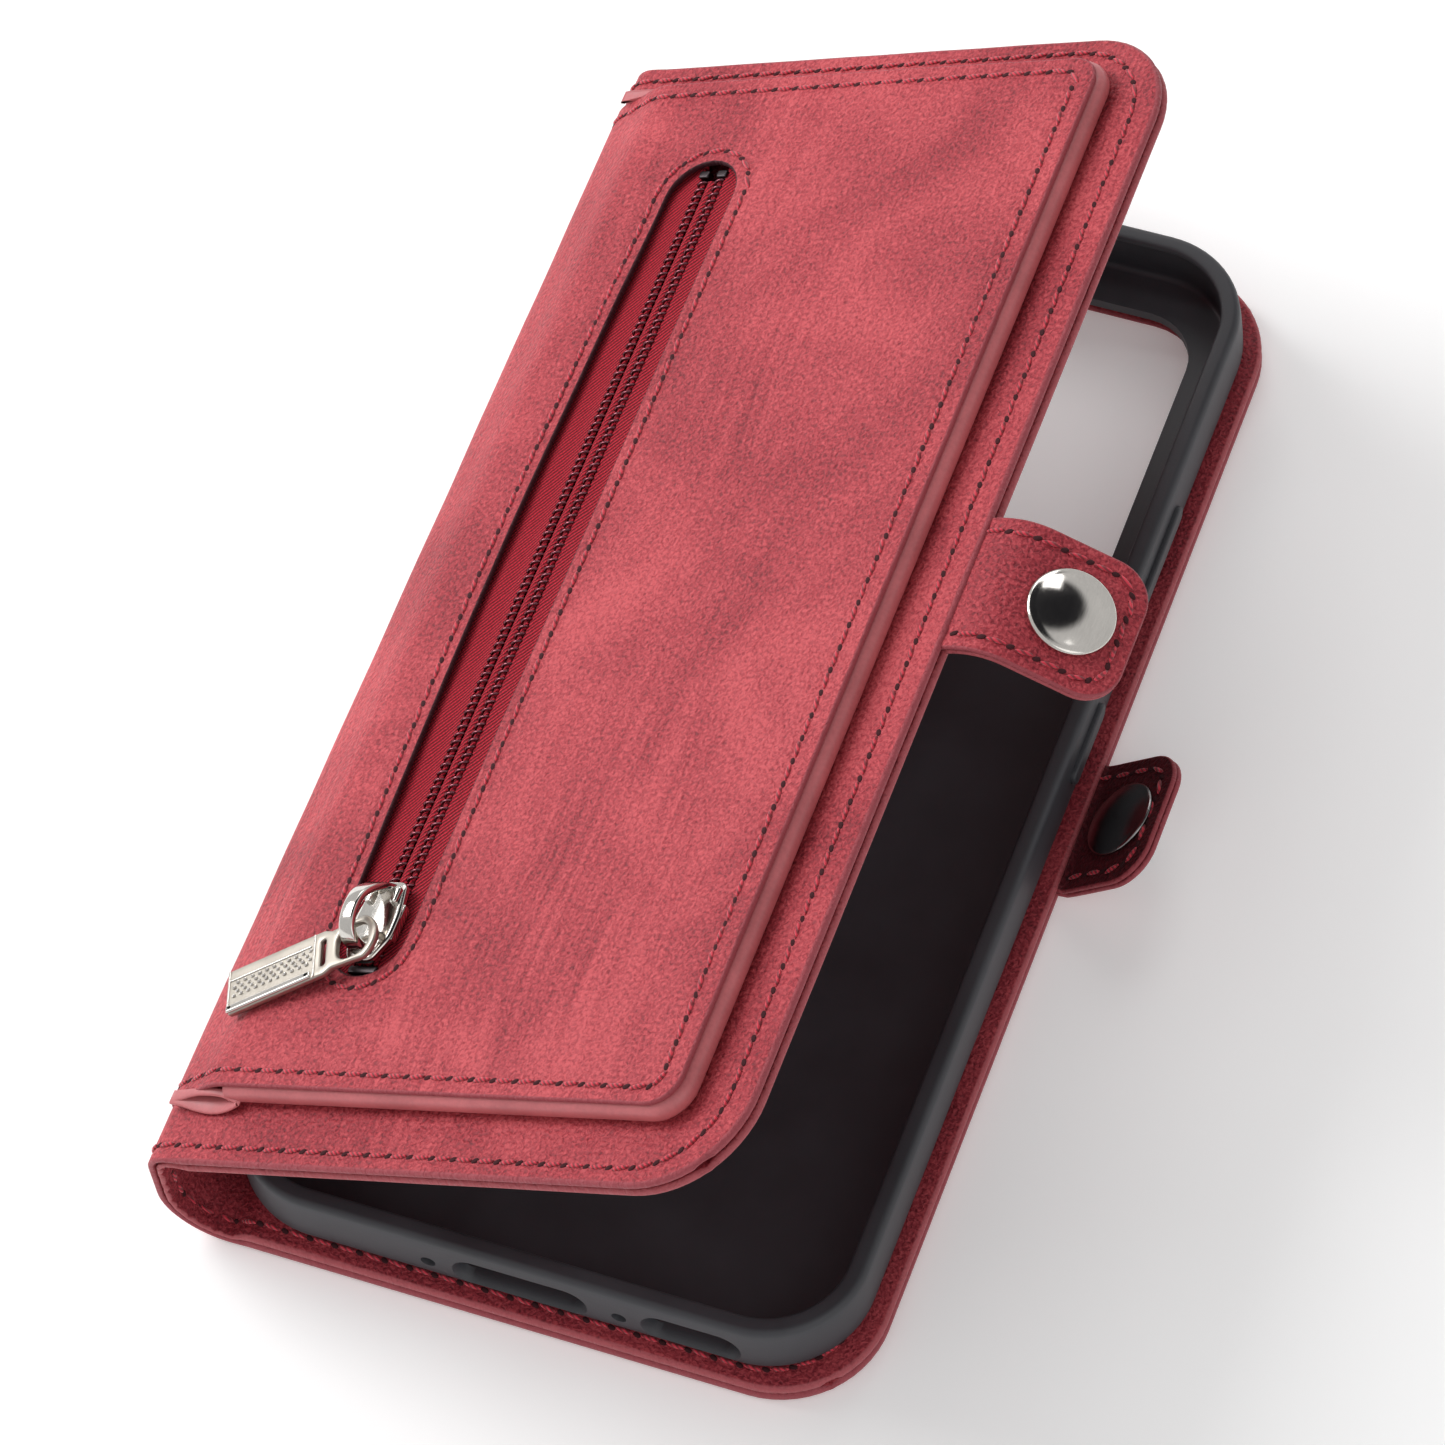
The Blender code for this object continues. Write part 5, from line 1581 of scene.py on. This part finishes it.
def domeProfile(radius, high, rim):
    # shallow dome that rolls over at its rim
    points = [(0, high)]
    inner = radius - rim
    rise = high * 0.5
    for i in range(1, 13):
        share = i / 12
        points.append((inner * share, high - rise * share ** 2.1))
    level = high - rise
    for turn in (62, 45, 25, 0, -30, -60):
        t = math.radians(turn)
        points.append((inner + rim * math.cos(t), level * (0.5 + 0.5 * math.sin(t))))
    return points + [(inner + 0.1 * mm, 0), (inner, -snap["foot"]), (0, -snap["foot"])]


def discProfile(radius, high):
    # sunk in the middle, with a raised rolled rim
    points = [(0, high * 0.62), (radius * 0.5, high * 0.62), (radius * 0.56, high * 0.7),
              (radius * 0.6, high * 0.96), (radius * 0.64, high), (radius * 0.9, high)]
    for turn in (60, 30, 0):
        t = math.radians(turn)
        points.append((radius * 0.9 + radius * 0.1 * math.cos(t), high * 0.75 + high * 0.25 * math.sin(t)))
    return points + [(radius, 0.1 * mm), (radius * 0.97, 0), (radius * 0.9, -snap["foot"]),
                     (0, -snap["foot"])]


cap = domeProfile(snap["capR"], snap["capHigh"], 0.7 * mm)
disc = domeProfile(snap["discR"], snap["discHigh"], 0.6 * mm)
magnet = discProfile(snap["magnetR"], snap["magnetHigh"])
for name, which, side, profile, look, slotName in (
        ("front_snap_cap", "front", 1, cap, nickelBright, "nickel"),
        ("front_snap_magnet", "front", -1, magnet, discMetal, "snap_disc"),
        ("back_snap_disc", "back", 1, disc, discMetal, "snap_disc"),
        ("back_snap_magnet", "back", -1, magnet, discMetal, "snap_disc")):
    piece = lathe(name + "_turned", profile, snapPlace(tabs[which], side), look)
    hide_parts(name)
    ride([piece], which + "_tab")
print("tabs and snaps made")


# handset tray

trayLow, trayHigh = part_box("phone_tray")
tray = dict(
    centre=(1.1 * mm, 0.0),
    half=(39.7 * mm, 80.5 * mm),
    low=trayLow.z,
    high=trayHigh.z - trayLow.z,
    cornerR=12.5 * mm,
    wall=1.8 * mm,
    floor=1.5 * mm,
    portZ=3.9 * mm,
    # name, middle along X, half width, half height, how far it flares
    ports=(("charge", 1.1 * mm, 8.0 * mm, 2.35 * mm, 0.55 * mm),
           ("speaker", 22.6 * mm, 5.75 * mm, 2.35 * mm, 0.55 * mm),
           ("micA", -10.5 * mm, 0.8 * mm, 0.8 * mm, 0.15 * mm),
           ("micB", 13.6 * mm, 0.8 * mm, 0.8 * mm, 0.15 * mm)),
    buttons=((34.0 * mm, 21.0 * mm), (9.0 * mm, 11.5 * mm)),         # middle along Y, length
    buttonHalf=1.3 * mm,
)


def trayLoop(inset, z):
    (x, y), (hx, hy) = tray["centre"], tray["half"]
    loop = roundedLoop((x - hx + inset, y - hy + inset), (x + hx - inset, y + hy - inset),
                       (tray["cornerR"] - inset,) * 4, 16)
    return [(px, py, tray["low"] + z) for px, py in loop]


def quarter(centre, radius, start, end, steps=5):
    return [(centre[0] + radius * math.cos(math.radians(start + (end - start) * i / steps)),
             centre[1] + radius * math.sin(math.radians(start + (end - start) * i / steps)))
            for i in range(steps + 1)]


tall = tray["high"]
# section from the underside, up the outer wall, over the lip and down to the floor: (inset, height)
section = quarter((1.9 * mm, 1.9 * mm), 1.9 * mm, 270, 180)
section += [(0.0, 3.4 * mm), (0.05 * mm, tall - 2.4 * mm), (0.12 * mm, tall - 1.5 * mm)]
section += quarter((1.1 * mm, tall - 0.95 * mm), 0.95 * mm, 172, 90, 5)
section += [(1.9 * mm, tall - 0.05 * mm)]
section += quarter((2.15 * mm, tall - 0.5 * mm), 0.45 * mm, 80, -80, 6)
section += [(tray["wall"] + 0.1 * mm, tall - 1.3 * mm), (tray["wall"], 3.0 * mm)]
section += quarter((tray["wall"] + 0.7 * mm, tray["floor"] + 0.7 * mm), 0.7 * mm, 180, 270, 4)
rings = [trayLoop(inset, z) for inset, z in section]
count = len(rings[0])
verts = [p for ring in rings for p in ring]
faces = []
for k in range(len(rings) - 1):
    for i in range(count):
        j = (i + 1) % count
        faces.append((k * count + i, k * count + j, (k + 1) * count + j, (k + 1) * count + i))
(cx, cy), (hx, hy) = opening["centre"], opening["half"]
camera = roundedLoop((cx - hx, cy - hy), (cx + hx, cy + hy), (opening["cornerR"],) * 4, 8)[::-1]
holeStart = []
for ring, z in ((rings[0], 0.0), (rings[-1], tray["floor"])):
    capFlat = capFaces([[p[:2] for p in ring], camera], [])
    base = rings.index(ring) * count
    start = len(verts)
    holeStart.append(start)
    verts += [(x, y, tray["low"] + z) for x, y in camera]
    faces += [tuple(base + i if i < count else start + i - count for i in f) for f in capFlat]
for i in range(len(camera)):
    j = (i + 1) % len(camera)
    faces.append((holeStart[0] + i, holeStart[0] + j, holeStart[1] + j, holeStart[1] + i))
trayShell = meshObject("phone_tray_shell", verts, faces, trayRubber)


def flared(name, centreX, halfWidth, halfHeight, flare):
    # slot cutter along Y that opens out at the outer face
    wallY = tray["centre"][1] - tray["half"][1]
    rings = []
    for y, grow in ((-1.5 * mm, flare), (-0.02 * mm, flare), (0.75 * mm, 0.0), (5.0 * mm, 0.0)):
        loop = roundedLoop((centreX - halfWidth - grow, tray["low"] + tray["portZ"] - halfHeight - grow),
                           (centreX + halfWidth + grow, tray["low"] + tray["portZ"] + halfHeight + grow),
                           (min(halfWidth, halfHeight) + grow - 1e-5,) * 4, 8)
        rings.append([(x, wallY + y, z) for x, z in loop])
    return sweep(name, rings, lambda p: p, None)


cutters = [flared(*port) for port in tray["ports"]]
for cutter in cutters:
    cut = trayShell.modifiers.new(cutter.name, "BOOLEAN")
    cut.operation, cut.solver, cut.object = "DIFFERENCE", "EXACT", cutter
bpy.context.view_layer.update()
graph = bpy.context.evaluated_depsgraph_get()
mesh = bpy.data.meshes.new_from_object(trayShell.evaluated_get(graph))
trayShell.modifiers.clear()
trayShell.data = mesh
for cutter in cutters:
    bpy.data.objects.remove(cutter, do_unlink=True)
mesh.materials.clear()
mesh.materials.append(trayRubber)
mesh.shade_smooth()
mesh.set_sharp_from_angle(angle=math.radians(40))


def onTrayWall(points):
    wallX = tray["centre"][0] + tray["half"][0]
    return np.stack([wallX + points[:, 2], points[:, 0], tray["low"] + points[:, 1]], 1)


buttons = []
for y, length in tray["buttons"]:
    reach = length / 2
    loop = roundedLoop((y - reach, tall / 2 - tray["buttonHalf"]), (y + reach, tall / 2 + tray["buttonHalf"]),
                       (1.25 * mm,) * 4, 8)
    buttons.append(panel("button", [loop], onTrayWall, (-0.6 * mm, 0.65 * mm), trayRubber, spacing=0.6 * mm,
                         edgeR=0.35 * mm))
buttonCovers = joined("phone_tray_buttons", buttons)
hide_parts("phone_tray")
ride([trayShell, buttonCovers], "back_cover")
print("tray made")


# card pockets on the inner side of the front cover

def underCover(points):
    return onCover(points * np.array((1, 1, -1)))


cards = dict(
    foot=75.5 * mm,
    cornerR=4 * mm,
    stitchIn=1.8 * mm,
    ply=0.42 * mm,
    # mouth, half length, height under the cover
    panels=dict(cash_pocket_panel=(4.5 * mm, 76.0 * mm, 2.9 * mm),
                card_pocket_panel_1=(13.0 * mm, 47.0 * mm, 3.6 * mm),
                card_pocket_panel_2=(22.0 * mm, 47.0 * mm, 4.3 * mm)),
)
for number, (name, (mouth, reach, low)) in enumerate(cards["panels"].items()):
    cardR = (cards["cornerR"], 0, 0, cards["cornerR"])
    inset = cards["stitchIn"]
    top = low + cards["ply"]
    loop = roundedLoop((mouth, -reach), (cards["foot"], reach), cardR, 8)
    row = openAt(rowInset((mouth, -reach), (cards["foot"], reach), cardR, (inset, inset, 0, inset)), mouth)
    sheet = panel(name + "_leather", [loop], underCover, (low, top), leatherInnerShaded, spacing=1.4 * mm,
                  edgeR=0.18 * mm, stitchLines=[row], puckers=0.06 * mm, gridStep=(2.5 * mm, 3.5 * mm))
    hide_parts(name)
    ride([sheet], "front_cover")
    if number != 1:                 # the middle panel's row is covered by the next
        stitches = sewn(name + "_stitches", [trimmed(row, 1.0 * mm)], top - 0.05 * mm, underCover,
                        seed=20 + number)
        ride(stitches, "front_cover")

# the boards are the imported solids, with their own finish
for name in ("back_stiffener", "front_stiffener"):
    board = frame["nodes"][name]
    board.data.materials.clear()
    board.data.materials.append(boardFibre)
print("card pockets made")


# floor, light and camera

studio = dict(
    floorHalf=2.0,
    floorTone=0.95,
    floorGlow=0.16,
    underPart=0.35 * mm,
    aim=(0, 0, 0.02),
    room=0.68,
    darkWay=(0.10, 0.40, 0.91),
    darkFrom=0.81,
    darkFull=0.88,
    darkTone=(0.03, 0.03, 0.034),
)
floorMaterial, tree, shader = newMaterial("paleFloor")
shader.inputs["Base Color"].default_value = (*(studio["floorTone"],) * 3, 1)
shader.inputs["Emission Color"].default_value = (1, 1, 1, 1)
shader.inputs["Emission Strength"].default_value = studio["floorGlow"]
shader.inputs["Roughness"].default_value = 0.85
wide, level = studio["floorHalf"], cadBox[0][2] - studio["underPart"]
floor = meshObject("floor", [(x * wide, y * wide, level) for x, y in ((-1, -1), (1, -1), (1, 1), (-1, 1))],
                   [(0, 1, 2, 3)], floorMaterial, False)


def areaLight(name, place, size, watts):
    light = bpy.data.lights.new(name, "AREA")
    light.shape = "RECTANGLE"
    light.size, light.size_y = size
    light.energy = watts
    lamp = bpy.data.objects.new(name, light)
    lamp.location = place
    lamp.rotation_euler = (Vector(studio["aim"]) - Vector(place)).to_track_quat("-Z", "Y").to_euler()
    bpy.context.scene.collection.objects.link(lamp)


areaLight("softboxLeft", (-0.75, 0.10, 0.55), (0.5, 0.5), 6.5)
areaLight("softboxRight", (0.6, -0.45, 0.55), (0.5, 0.6), 0.8)
areaLight("softboxBehind", (-0.25, 0.75, 0.7), (0.7, 0.4), 2.4)
world = bpy.data.worlds.new("studio")
world.use_nodes = True
# a white room with one dark patch overhead, so that bright metal has something to reflect
room = world.node_tree
facing = room.nodes.new("ShaderNodeVectorMath")
facing.operation = "DOT_PRODUCT"
room.links.new(room.nodes.new("ShaderNodeTexCoord").outputs["Generated"], facing.inputs[0])
facing.inputs[1].default_value = Vector(studio["darkWay"]).normalized()
room.links.new(ramp(room, facing.outputs["Value"], [(studio["darkFrom"], (1, 1, 1)),
                                                    (studio["darkFull"], studio["darkTone"])]),
               room.nodes["Background"].inputs["Color"])
room.nodes["Background"].inputs["Strength"].default_value = studio["room"]
bpy.context.scene.world = world
bpy.context.scene.view_settings.view_transform = "Standard"

shot = dict(
    lens=173.05,
    sensor=36.0,
    place=Vector((213.207, -388.186, 733.270)) * mm,
    right=Vector((0.933679, 0.345682, -0.093530)),
    forward=Vector((-0.254038, 0.455266, -0.853345)),
)
lens = bpy.data.cameras.new("camera")
lens.lens = shot["lens"]
lens.sensor_width = shot["sensor"]
lens.clip_start = 0.01
camera = bpy.data.objects.new("camera", lens)
turned = Matrix((shot["right"], shot["right"].cross(shot["forward"]), -shot["forward"])).transposed()
camera.matrix_world = Matrix.Translation(shot["place"]) @ turned.to_4x4()
bpy.context.scene.collection.objects.link(camera)
bpy.context.scene.camera = camera
print("stage set")
